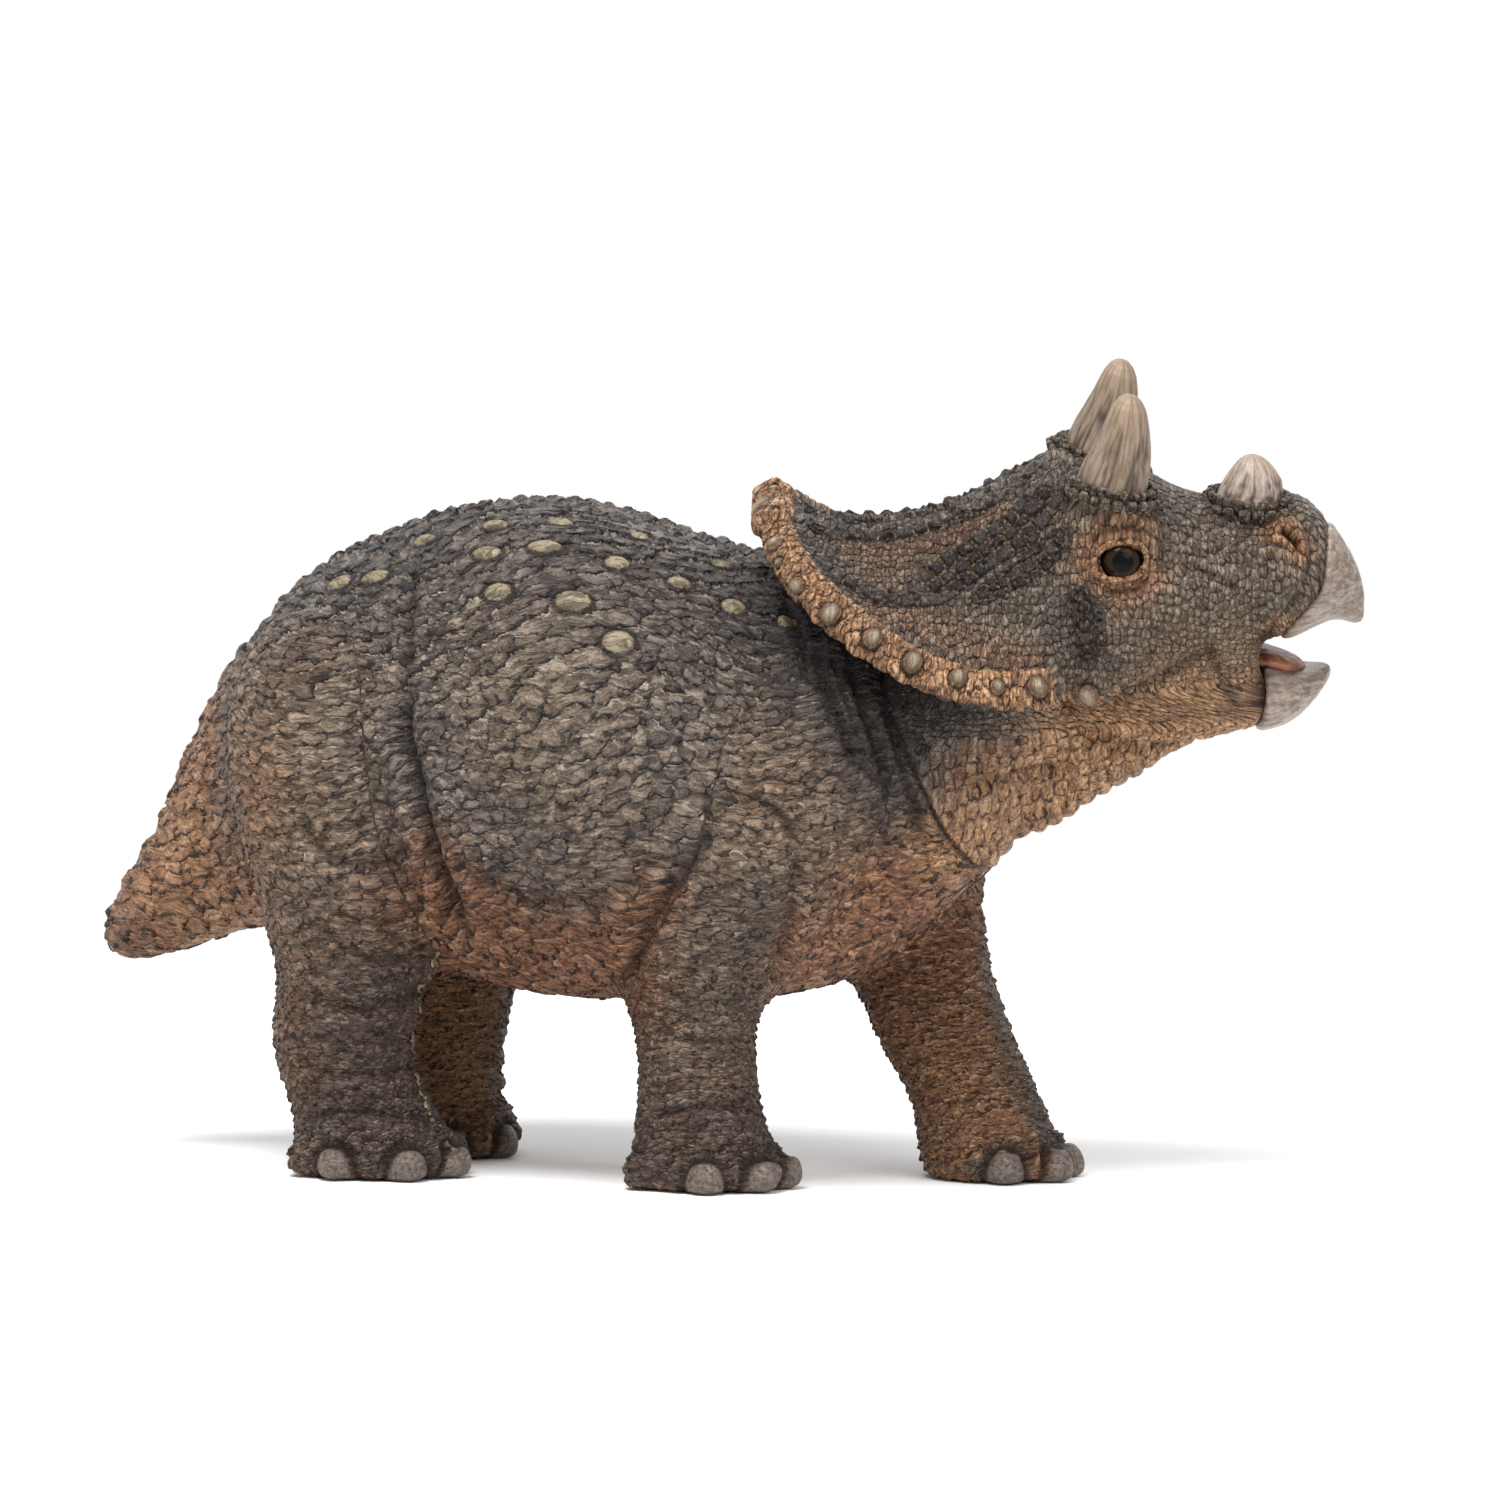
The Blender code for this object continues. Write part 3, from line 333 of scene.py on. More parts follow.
def subdivided(points, quads):
    """Each quad made four, with a new point in the middle of every edge and face."""
    count = len(points)
    ends = np.sort(np.stack([quads, np.roll(quads, -1, 1)], 2).reshape(-1, 2), 1).astype(np.int64)
    keys, index = np.unique(ends[:, 0] * count + ends[:, 1], return_inverse=True)
    middles = (points[keys // count] + points[keys % count]) / 2
    edge = count + index.reshape(-1, 4)
    centre = count + len(keys) + np.arange(len(quads))
    parts = [np.stack([quads[:, k], edge[:, k], centre, edge[:, k - 1]], 1) for k in range(4)]
    return np.vstack([points, middles, points[quads].mean(1)]), np.vstack(parts)


def sample(field, low, points):
    """The field between its grid points."""
    at = points / VOXEL - low
    cell = np.clip(np.floor(at).astype(int), 0, np.array(field.shape) - 2)
    t = at - cell
    total = 0
    for corner in np.ndindex(2, 2, 2):
        weight = np.prod(np.where(corner, t, 1 - t), axis=1)
        total = total + weight * field[tuple((cell + corner).T)]
    return total


# How far under each small piece's surface the head's skin is filled, in mm
HEAD_FILLS = (
    ("upper_beak", 0.55), ("lower_beak", 0.55), ("brow_horn_right", 0.5), ("brow_horn_left", 0.5),
    ("nose_horn", 0.5), ("eye_right", 0.5), ("eye_left", 0.5),
)

# How far the solids' corners are rounded into each other, in mm, and how often the whole is blurred
FILL_BLEND, TAIL_BLEND, HIND_BLEND, FRONT_BLEND, HEAD_BLEND = 1.0, 5.0, 3.0, 4.0, 1.2
SKIN_BLURS, SKIN_RELAXES = 3, 6

# Pulls on the smooth skin: space, radius mm, pixel, and the move in pixels right and down
PULLS = (
    ("one", 4.0, (180, 952), (0, 13)),
    ("one", 4.5, (271, 985), (9, 0)),
    ("one", 4.0, (265, 612), (-5, -4)),
    ("one", 8.0, (440, 528), (0, -7)),
    ("one", 9.0, (670, 514), (0, 11)),
    ("head", 4.0, (830, 515), (0, -6)),
    ("head", 3.2, (776, 495), (8, 15)),
    ("head", 4.5, (965, 495), (0, 13)),
    ("one", 4.5, (152, 840), (10, 1)),
    ("one", 3.0, (242, 655), (8, 4)),
    ("one", 3.5, (1050, 812), (2, 7)),
    ("one", 4.5, (1000, 845), (3, 7)),
    ("one", 5.0, (985, 905), (7, 0)),
    ("one", 3.0, (1078, 1150), (-8, 3)),
    ("one", 4.5, (882, 1040), (-12, 3)),
    ("one", 4.0, (1040, 1090), (-6, 1)),
    ("one", 4.0, (505, 1060), (-16, 0)),
    ("one", 3.0, (518, 1130), (-6, 0)),
)


def fill_behind_small_pieces(fields, low):
    """Grow the head's skin in under the beaks, horns and eyes, so that no gap shows round them."""
    for name, inset in HEAD_FILLS:
        field = distance_field(frame["nodes"][name].data, low, fields["head"].shape)
        fields["head"] = soft_min(fields["head"], field + inset * MM, FILL_BLEND * MM)


def mirror_move(move, space):
    """A move's mirror image in the figure's or the head's middle plane."""
    if space == "head":
        return (np.asarray(move) @ HEAD_AXES * (1, -1, 1)) @ HEAD_AXES.T
    return np.asarray(move) * (1, -1, 1)


def pulled(points, tree):
    """The points after the pulls that bring the outline to the photograph's."""
    for space, radius, pixel, (right, down) in PULLS:
        centre = on_photo(*pixel, tree)
        move = (RIGHT * right - UP * down) * PIXEL
        ways = [(centre, move)]
        if space != "one":
            ways.append((mirrored(centre[None], space, tree)[0], mirror_move(move, space)))
        for at, way in ways:
            share = np.exp(-((points - at) ** 2).sum(1) / (radius * MM) ** 2)
            points = points + share[:, None] * way
    return points


def base_skin():
    """The distance fields and their grid, a tree to look places up in, and the smooth skin."""
    fields, low = level_sets()
    fill_behind_small_pieces(fields, low)
    trunk = soft_min(fields["body"], fields["tail"], TAIL_BLEND * MM)
    blends = [soft_min(trunk, fields[name], (HIND_BLEND if "hind" in name else FRONT_BLEND) * MM)
              for name in SKIN_NODES if "leg" in name]
    blends.append(soft_min(trunk, fields["head"], HEAD_BLEND * MM))
    whole = blur(np.minimum.reduce(blends), SKIN_BLURS)
    points, quads = outer_body(*surface(whole, low))
    points = pulled(points, BVHTree.FromPolygons(points.tolist(), quads.tolist()))
    tree = BVHTree.FromPolygons(points.tolist(), quads.tolist())
    points, quads = subdivided(points, quads)
    return fields, low, tree, new_mesh("skin", points, [quads])


# Places on the skin

def in_head(points):
    """Points in the head's own frame, in millimetres: forward, left, up."""
    return (np.asarray(points, float) - np.array(HEAD_ORIGIN)) @ HEAD_AXES / MM


def from_head(local):
    return np.asarray(local, float) * MM @ HEAD_AXES.T + np.array(HEAD_ORIGIN)


def on_photo(x, y, tree):
    """The point of the skin that the photograph shows at a pixel, or the nearest to it."""
    middle = PHOTO_SIDE / 2
    ray = (RIGHT * (x - middle) + UP * (middle - y)) * PIXEL / DISTANCE - BACK
    hit = tree.ray_cast(Vector(EYE_POINT), Vector(ray))[0]
    if hit is None:
        hit = tree.find_nearest(Vector(EYE_POINT + ray * DISTANCE))[0]
    return np.array(hit)


LEG_HEIGHTS = np.arange(0.001, 0.052, 0.003)
LEG_SLICE = 0.0025


def leg_line(name):
    """Centre of a leg at heights up it, from its CAD solid."""
    points = points_of(frame["nodes"][name].data)
    centres = []
    for height in LEG_HEIGHTS:
        near = points[np.abs(points[:, 2] - height) < LEG_SLICE]
        centres.append((near.min(0) + near.max(0)) / 2)
    return np.array(centres)


LEG_LINES = {name: leg_line(name) for name in SKIN_NODES if "leg" in name}


def mirrored(points, space, tree):
    """The same places on the figure's other side."""
    points = np.asarray(points, float)
    if space == "head":
        other = from_head(in_head(points) * (1, -1, 1))
    else:
        other = points.copy()
        other[:, 1] = 2 * MIDDLE_Y - other[:, 1]
    if space.startswith("leg"):
        right, left = LEG_LINES[space + "_right"], LEG_LINES[space + "_left"]
        for axis, sign in ((0, 1), (1, -1)):
            across = 2 * MIDDLE_Y if axis == 1 else 0
            shift = left[:, axis] - (across + sign * right[:, axis])
            other[:, axis] += np.interp(points[:, 2], LEG_HEIGHTS, shift)
    return np.array([tree.find_nearest(Vector(p))[0] for p in other])


FIELDS, LOW, TREE, SKIN = base_skin()
QUADS = quads_of(SKIN)
POINTS = relaxed(points_of(SKIN).astype(float), edges_of(SKIN), SKIN_RELAXES)
move_points(SKIN, POINTS)
NORMALS = normals_of(SKIN)
DISTANCES = np.stack([sample(FIELDS[name], LOW, POINTS) for name in SKIN_NODES], 1)
OWNER = DISTANCES.argmin(1)
IS_HEAD = OWNER == SKIN_NODES.index("head")
LOCAL = in_head(POINTS)
del FIELDS


# Reading the tables below

# Longest step between the points of a dense line, in pixels
PIXEL_STEP = 14


def line_on_skin(pixels):
    """A pixel polyline made dense, laid on the skin."""
    pixels = np.array(pixels, float)
    dense = [pixels[:1]]
    for a, b in zip(pixels, pixels[1:]):
        steps = max(1, int(np.hypot(*(b - a)) / PIXEL_STEP))
        dense.append(a + (b - a) * np.arange(1, steps + 1)[:, None] / steps)
    return np.array([on_photo(*pixel, TREE) for pixel in np.vstack(dense)])


def from_line(line, reach):
    """The skin points within reach mm of a polyline: indices, distance in mm, place along it."""
    reach = reach * MM
    low, high = line.min(0) - reach, line.max(0) + reach
    near = np.flatnonzero(((POINTS > low) & (POINTS < high)).all(1))
    at = POINTS[near]
    best, along = np.full(len(near), np.inf), np.zeros(len(near))
    if len(line) == 1:
        best = np.linalg.norm(at - line[0], axis=1)
    for k, (a, b) in enumerate(zip(line, line[1:])):
        run = b - a
        t = np.clip((at - a) @ run / max(run @ run, 1e-12), 0, 1)
        far = np.linalg.norm(at - a - t[:, None] * run, axis=1)
        closer = far < best
        best[closer], along[closer] = far[closer], (k + t[closer]) / (len(line) - 1)
    kept = best < reach
    return near[kept], best[kept] / MM, along[kept]


def both_sides(line, space):
    return [line] if space == "one" else [line, mirrored(line, space, TREE)]


def strokes(space, pixels, reach):
    """What from_line gives for a pixel polyline, and for its mirror image where it has one."""
    for way in both_sides(line_on_skin(pixels), space):
        yield from_line(way, reach)


# Folds: space, half width mm, depth mm, dark wash and painted shade in the fold, pixel polyline
FOLDS = (
    ("leg_hind", 1.1, 0.7, 0.7, ((412, 560), (409, 613), (408, 653), (404, 700))),
    ("leg_hind", 1.6, 1.9, 1.0, ((404, 690), (404, 735), (413, 773), (420, 813), (433, 857),
                                 (447, 890), (458, 925), (462, 950))),
    ("leg_hind", 1.0, 0.55, 0.5, ((300, 810), (312, 840), (330, 858), (360, 866), (393, 857),
                                  (419, 838))),
    ("leg_hind", 0.8, 0.35, 0.35, ((316, 922), (343, 945), (370, 958), (405, 957), (447, 935))),
    ("leg_hind", 0.8, 0.30, 0.30, ((322, 900), (350, 917), (385, 922), (430, 905))),
    ("leg_hind", 1.2, 0.45, 0.35, ((300, 985), (330, 1005), (372, 1008), (430, 985))),
    ("leg_hind", 0.7, 0.30, 0.35, ((296, 1060), (330, 1072), (380, 1074), (425, 1062))),
    ("leg_hind", 0.7, 0.28, 0.35, ((300, 1088), (340, 1097), (390, 1098), (432, 1088))),
    ("leg_hind", 0.9, 0.45, 0.55, ((300, 1122), (335, 1112), (380, 1110), (430, 1118),
                                   (455, 1130))),
    ("leg_hind", 0.8, 0.25, 0.2, ((278, 660), (284, 733), (300, 807))),
    ("body", 1.3, 0.55, 0.35, ((440, 832), (463, 867), (503, 890), (550, 902), (600, 895),
                               (643, 875), (677, 843))),
    ("body", 0.9, 0.30, 0.25, ((455, 897), (483, 925), (527, 946), (570, 948), (622, 940))),
    ("body", 0.8, 0.20, 0.15, ((470, 945), (520, 975), (570, 990), (615, 992))),
    ("body", 0.7, 0.18, 0.2, ((543, 667), (550, 730), (553, 780), (570, 847))),
    ("body", 0.7, 0.15, 0.2, ((655, 690), (645, 745), (652, 800), (640, 850))),
    ("leg_front", 1.5, 1.0, 0.6, ((627, 985), (643, 935), (673, 883), (704, 845), (712, 815))),
    ("leg_front", 1.0, 0.6, 0.45, ((704, 780), (708, 815), (728, 800), (757, 800), (783, 820),
                                   (797, 850))),
    ("leg_front", 1.2, 0.6, 0.35, ((797, 850), (792, 897), (783, 947), (768, 985))),
    ("leg_front", 0.8, 0.35, 0.3, ((655, 985), (700, 1003), (745, 1000), (765, 985))),
    ("leg_front", 0.7, 0.30, 0.3, ((650, 1030), (700, 1042), (752, 1036))),
    ("leg_front", 0.7, 0.35, 0.4, ((645, 1118), (690, 1108), (735, 1106), (768, 1118))),
    ("body", 1.2, 0.85, 0.9, ((812, 640), (826, 687), (845, 733), (862, 775))),
    ("body", 1.1, 0.80, 0.9, ((846, 660), (862, 707), (880, 755), (893, 800))),
    ("body", 0.9, 0.60, 0.7, ((878, 690), (896, 742), (912, 800), (925, 850))),
    ("body", 0.8, 0.55, 0.7, ((785, 600), (800, 640), (812, 690))),
    ("body", 0.7, 0.45, 0.7, ((830, 650), (846, 700), (862, 745))),
    ("head", 1.1, 0.55, 0.45, ((945, 768), (975, 785), (1005, 778), (1040, 768), (1075, 765))),
    ("head", 1.2, 0.65, 0.2, ((1071, 721), (1113, 744), (1155, 748), (1197, 738), (1250, 730))),
    ("head", 0.9, 0.7, 0.6, ((1046, 650), (1052, 680), (1066, 708), (1078, 716))),
    ("head", 0.9, 0.5, 0.4, ((1104, 705), (1130, 692), (1165, 672), (1200, 655), (1222, 646))),
    ("head", 0.7, 0.45, 0.5, ((1206, 640), (1216, 665), (1228, 692), (1240, 712))),
    ("head", 0.6, 0.35, 0.4, ((1278, 500), (1300, 520), (1312, 545), (1308, 575), (1288, 606),
                              (1268, 636), (1248, 648))),
    ("head", 0.6, 0.40, 0.5, ((1084, 548), (1102, 532), (1130, 526), (1149, 536))),
    ("head", 0.6, 0.35, 0.4, ((1088, 575), (1108, 592), (1136, 590), (1152, 572))),
    ("head", 0.9, 0.40, 0.3, ((1158, 500), (1166, 540), (1160, 580))),
    ("head", 0.55, 1.1, 1.0, ((1280, 530), (1288, 535), (1295, 542), (1301, 552))),
    ("head", 0.7, 0.35, 0.4, ((1262, 520), (1272, 545), (1268, 575))),
    ("head", 0.6, 0.35, 0.5, ((1180, 560), (1210, 575), (1240, 590))),
)

# Airbrushed paint, with painted shadow under the frill and painted light on the far hind leg,
# in order: space, radius mm, strength, (warm, dark, khaki), pixel polyline
PAINT = (
    ("body", 9.0, 0.75, (0.0, 0.42, 0.0), ((330, 560), (420, 515), (520, 500), (640, 510),
                                           (760, 545))),
    ("one", 5.0, 0.55, (0.45, 0.28, 0.2), ((115, 935), (140, 955))),
    ("leg_hind", 5.0, 0.70, (0.80, 0.0, 0.6), ((262, 780), (250, 860), (262, 930), (268, 1000),
                                               (272, 1060))),
    ("leg_hind", 4.0, 0.45, (0.35, 0.0, 0.45), ((285, 905), (278, 990), (285, 1040))),
    ("leg_hind", 7.0, 0.85, (0.35, 0.62, 0.0), ((400, 985), (372, 1040), (362, 1090),
                                                (390, 1130), (445, 1150))),
    ("leg_hind", 3.4, 0.60, (0.15, 0.65, 0.0), ((418, 880), (430, 930), (415, 970))),
    ("leg_front", 3.6, 0.45, (0.15, 0.45, 0.0), ((765, 900), (750, 940), (758, 990))),
    ("leg_front", 5.0, 0.65, (0.35, 0.60, 0.0), ((650, 1150), (700, 1130), (760, 1140))),
    ("body", 6.5, 0.95, (1.0, 0.10, 0.0), ((448, 915), (490, 960), (550, 985), (620, 1000))),
    ("body", 3.5, 0.75, (1.0, 0.25, 0.0), ((432, 850), (450, 885), (480, 915), (540, 938),
                                           (610, 930), (650, 890))),
    ("leg_front", 4.5, 0.7, (1.0, 0.15, 0.0), ((655, 925), (640, 985), (625, 1010))),
    ("body", 7.0, 0.85, (1.0, 0.0, 0.15), ((880, 950), (915, 925), (950, 905), (975, 900))),
    ("body", 5.0, 0.55, (0.8, 0.1, 0.0), ((835, 985), (870, 965), (905, 945))),
    # Painted shadow that the frill casts on the neck, over this row and the next two
    ("body", 6.5, 0.95, (0.05, 0.95, 0.0), ((790, 590), (815, 640), (845, 690), (880, 730))),
    ("body", 4.0, 0.70, (0.15, 0.85, 0.0), ((870, 690), (895, 750), (910, 800))),
    ("head", 4.2, 0.80, (0.05, 0.90, 0.0), ((890, 690), (930, 708), (980, 710))),
    ("head", 6.5, 0.90, (0.95, 0.0, 0.85), ((955, 850), (1010, 815), (1080, 775), (1150, 760))),
    ("head", 5.5, 0.75, (0.75, 0.0, 0.7), ((980, 780), (1060, 765), (1120, 755))),
    ("head", 4.0, 0.60, (0.6, 0.0, 0.85), ((1060, 715), (1110, 702), (1160, 688), (1215, 676))),
    ("head", 5.2, 0.98, (1.0, 0.0, 1.0), ((1090, 738), (1150, 718), (1200, 706), (1240, 700))),
    ("head", 2.6, 0.80, (0.5, 0.0, 1.0), ((1236, 660), (1240, 690), (1232, 640))),
    ("head", 6.5, 0.55, (0.15, 0.10, 0.9), ((1180, 590), (1240, 570), (1290, 560))),
    ("head", 5.0, 0.55, (0.25, 0.0, 1.0), ((1170, 640), (1130, 660), (1200, 620))),
    ("head", 3.0, 0.60, (0.2, 0.55, 0.4), ((1078, 590), (1085, 630), (1100, 655))),
    ("head", 3.6, 0.45, (0.2, 0.40, 0.4), ((1040, 560), (1060, 600), (1055, 640))),
    ("head", 2.6, 0.85, (0.9, 0.05, 0.5), ((1098, 548), (1112, 533), (1138, 530))),
    ("head", 2.4, 0.85, (0.9, 0.05, 0.4), ((1098, 572), (1120, 590), (1146, 580))),
    ("head", 1.7, 0.90, (1.0, 0.0, 0.7), ((1278, 530), (1290, 538), (1300, 550))),
    ("head", 3.6, 0.50, (0.2, 0.20, 0.6), ((800, 500), (860, 510), (920, 500), (980, 470),
                                           (1030, 450))),
    ("head", 2.4, 0.75, (0.60, 0.05, 0.3), ((850, 548), (890, 556), (930, 545), (970, 525),
                                            (1000, 505))),
    ("head", 3.4, 0.80, (0.62, 0.05, 0.5), ((880, 605), (940, 632), (985, 650), (1025, 662))),
    ("body", 9.0, 0.75, (0.12, 0.0, 0.95), ((520, 700), (560, 780), (600, 830))),
    ("leg_hind", 7.0, 0.60, (0.10, 0.0, 0.75), ((340, 700), (345, 770))),
    ("leg_front", 5.0, 0.60, (0.15, 0.0, 0.75), ((700, 960), (705, 1020))),
    ("head", 1.8, 0.95, (1.0, 0.80, 0.0), ((1262, 640), (1275, 655))),
    # Lighter amber on the far hind leg: its warm paint, and painted light from the floor below
    ("one", 5.0, 0.70, (0.80, 0.0, 0.8), ((475, 1000), (468, 1050), (480, 1100))),
    ("one", 5.0, 0.45, (0.85, 0.0, 0.7), ((900, 1010), (950, 1040), (985, 1100))),
)

# The thick amber rim of the frill, through its studs
RIM_PIXELS = ((1040, 688), (998, 688), (957, 679), (912, 663), (872, 639), (834, 611), (800, 580),
              (780, 548), (770, 518), (773, 500))
RIM_HALF_WIDTH = 2.2
RIM_TONE = (1.0, 0.0, 0.75)

# Bands of dark plates: half width mm, plate size mm, pixel polyline
PLATES = (
    (0.75, 1.5, ((822, 513), (850, 521), (895, 521), (935, 512), (970, 495), (1000, 478),
                 (1020, 464))),
    (1.00, 1.7, ((812, 530), (853, 538), (882, 539), (914, 533), (943, 525), (984, 509),
                 (1008, 494), (1034, 474))),
    (1.20, 2.0, ((804, 547), (829, 572), (853, 587), (878, 598), (906, 602), (935, 598))),
    (2.40, 1.7, ((931, 590), (959, 570), (984, 552), (1012, 535), (1032, 513), (1045, 497))),
    (1.40, 1.3, ((984, 597), (1008, 581), (1041, 560), (1061, 540))),
    (1.10, 1.05, ((1080, 596), (1083, 625), (1088, 655))),
    (0.70, 1.00, ((1098, 606), (1101, 640))),
)

# Pitted places of the frill between them: radius mm, pixel polyline
PITS = (
    (2.2, ((850, 560), (900, 568), (940, 556), (980, 530))),
    (2.6, ((880, 622), (940, 632), (1000, 650), (1030, 660))),
    (2.2, ((960, 612), (1010, 612), (1045, 625))),
)

# Muscles and lumps: space, radius mm, height mm, pixel
BULGES = (
    ("leg_hind", 8.0, 1.0, (345, 740)), ("leg_hind", 4.5, 0.5, (350, 890)),
    ("leg_hind", 4.0, 0.5, (340, 1030)), ("leg_front", 5.0, 0.9, (745, 880)),
    ("leg_front", 4.0, 0.5, (700, 960)), ("leg_front", 3.0, 0.4, (680, 1060)),
    ("body", 9.0, 0.6, (560, 770)), ("body", 5.0, 0.5, (700, 730)),
    ("head", 4.5, 0.5, (1180, 600)), ("head", 2.2, 0.5, (1125, 508)),
    ("head", 3.0, 0.5, (1130, 655)), ("head", 3.0, 0.5, (1285, 580)),
    ("head", 2.0, 0.6, (1238, 690)), ("head", 2.6, 0.4, (1170, 700)),
    ("head", 1.6, 0.45, (1294, 520)), ("head", 1.3, 0.40, (1276, 548)),
)

# The pale mould line down the front of the near hind leg
MOULD_LINE = ((442, 941), (421, 990), (411, 1037), (415, 1075), (426, 1107), (454, 1150))

# Foot centres as the mounts have them, half length and width of each foot, and its nails' degrees
FEET = {
    "leg_hind_right": ((-32.25, -10.21), (9.5, 8.2), (10, 53, 105)),
    "leg_hind_left": ((-32.93, 7.64), (9.5, 8.2), (-60, -8, 45, 95)),
    "leg_front_right": ((3.81, -10.07), (8.9, 8.0), (-2, 32, 75)),
    "leg_front_left": ((30.17, 6.95), (8.9, 8.0), (-70, -22, 22, 66)),
}
NAIL_HALF_WIDTH, NAIL_HALF_HEIGHT, NAIL_HEIGHT = 2.0, 2.45, 1.2

# Raised pale spots: pixel and half sizes in mm along and across
SPOTS = (
    (340, 583, 1.6, 1.0), (375, 577, 1.8, 0.9), (425, 540, 1.3, 0.8), (495, 525, 1.4, 0.8),
    (487, 553, 1.6, 0.9), (560, 523, 1.4, 0.7), (545, 547, 1.8, 1.0), (617, 563, 1.3, 1.0),
    (640, 538, 1.1, 0.6), (680, 583, 1.3, 0.8), (722, 565, 1.1, 0.7), (498, 592, 1.5, 1.1),
    (573, 601, 1.9, 1.2), (733, 607, 1.3, 1.0), (787, 622, 1.0, 0.8), (618, 642, 1.7, 1.3),
)

# Studs of the rim and knobs of the cheek: pixel and radius mm
STUDS = (
    (1037, 688, 0.95), (997, 688, 0.72), (957, 679, 0.88), (912, 663, 0.98), (872, 639, 0.95),
    (831, 614, 0.95), (798, 586, 0.70), (781, 562, 0.50), (776, 545, 0.70), (767, 512, 0.85),
    (775, 497, 0.50),
)
KNOBS = ((1088, 696, 1.15), (1108, 698, 0.75), (1130, 690, 0.6))


# Fields over the skin, filled in below: relief in mm, stains, dark wash and painted shade, paint,
# raised pale places, how much of the scale pattern shows, plates and pits
CARVED = np.zeros(len(POINTS))
STAIN_AND_SHADE = np.zeros(len(POINTS))
TONE = np.zeros((len(POINTS), 3))
PALE = np.full(len(POINTS), 3.0)
PALE_KIND = np.zeros(len(POINTS))
OVAL, STUD, NAIL = 1.0, 2.0, 3.0
AMOUNT = np.ones(len(POINTS))
PLATE = np.full(len(POINTS), -1.0)
PLATE_AT = np.zeros((len(POINTS), 3))
GRAIN = np.zeros(len(POINTS))
WOBBLE = noise_vector(2.6, 2.0, (0, 40, 80))


def share_of(part, reach):
    """From 0 to 1 over the seam between the nodes whose names hold the word and the others."""
    mine = [k for k, name in enumerate(SKIN_NODES) if part in name]
    others = [k for k, name in enumerate(SKIN_NODES) if part not in name]
    lead = DISTANCES[:, others].min(1) - DISTANCES[:, mine].min(1)
    return smooth(lead, -reach * MM, reach * MM)


LEG_SHARE = share_of("leg", 3.5)
TAIL_SHARE = share_of("tail", 5.5)

# A fold's section in shares of its width, and the share of its length that each end fades over
FOLD_CORE, LIP_AT, LIP_WIDTH, LIP_SHARE, FOLD_REACH = 0.62, 1.5, 0.7, 0.28, 3
FOLD_FADE = 0.12


def carve_folds():
    for space, width, depth, stain, pixels in FOLDS:
        for near, far, along in strokes(space, pixels, width * FOLD_REACH):
            ends = smooth(along, 0, FOLD_FADE) * smooth(1 - along, 0, FOLD_FADE)
            shape = bell(far, 0, width * FOLD_CORE)
            lip = bell(far, width * LIP_AT, width * LIP_WIDTH)
            CARVED[near] += ends * depth * (LIP_SHARE * lip - shape)
            # Dark wash and painted shade along the fold's core
            STAIN_AND_SHADE[near] = np.maximum(STAIN_AND_SHADE[near], ends * stain * shape)


# The first coat: how far a surface faces down or inwards, or up, for warm or dark paint to show,
# each paint's strength, and the heights in mm over which the feet darken
UNDERSIDE, INNER_SIDE, INNER_WARMTH = (0.25, 0.85), (0.1, 0.7), 0.95
TAIL_SIDES, TAIL_WARMTH = (-0.80, -0.10), (0.36, 0.60)
WARMTH, LEG_WARMTH = 0.08, 0.22
TOP_SIDE, TOP_DARK = (0.2, 0.9), 0.36
FOOT_HEIGHTS, FOOT_DARK = (18, 4), 0.28
KHAKI, HEAD_KHAKI, LEG_KHAKI, TAIL_KHAKI = 0.30, 0.78, 0.38, 0.28


def lay_tone(near, tone, share):
    TONE[near] += (np.array(tone) - TONE[near]) * share[:, None]


def paint():
    """Warm undersides and inner legs, a dark back and dark feet, then the airbrushed strokes, some of
    them painted shadow and painted light.
    """
    down, inwards = -NORMALS[:, 2], -np.sign(POINTS[:, 1] - MIDDLE_Y)
    inner = np.clip(LEG_SHARE * NORMALS[:, 1] * inwards, 0, 1)
    tail_low, tail_more = TAIL_WARMTH
    TONE[:, 0] = np.maximum.reduce([
        smooth(down, *UNDERSIDE), smooth(inner, *INNER_SIDE) * INNER_WARMTH,
        TAIL_SHARE * (tail_low + tail_more * smooth(down, *TAIL_SIDES)),
        WARMTH + LEG_WARMTH * LEG_SHARE])
    TONE[:, 1] = smooth(NORMALS[:, 2], *TOP_SIDE) * TOP_DARK
    TONE[:, 1] += LEG_SHARE * FOOT_DARK * smooth(POINTS[:, 2] / MM, *FOOT_HEIGHTS)
    TONE[:, 2] = np.where(IS_HEAD, HEAD_KHAKI, KHAKI + LEG_KHAKI * LEG_SHARE)
    TONE[:, 2] += TAIL_KHAKI * TAIL_SHARE
    for space, radius, strength, tone, pixels in PAINT:
        for near, far, _ in strokes(space, pixels, radius * 2):
            lay_tone(near, tone, strength * bell(far, 0, radius))


def swell():
    for space, radius, height, pixel in BULGES:
        for near, far, _ in strokes(space, [pixel], radius * 2.2):
            CARVED[near] += height * bell(far, 0, radius)


# The rim's height and the groove beside it, in mm
RIM_RISE, RIM_GROOVE, RIM_GROOVE_OUT, RIM_GROOVE_WIDTH = 0.55, 0.18, 0.35, 0.3


def raise_rim():
    for near, far, _ in strokes("head", RIM_PIXELS, 5):
        share = 1 - smooth(far, RIM_HALF_WIDTH - 0.5, RIM_HALF_WIDTH + 0.3)
        CARVED[near] += RIM_RISE * share
        CARVED[near] -= RIM_GROOVE * bell(far, RIM_HALF_WIDTH + RIM_GROOVE_OUT, RIM_GROOVE_WIDTH)
        lay_tone(near, RIM_TONE, share)
        GRAIN[near] = np.maximum(GRAIN[near], share)


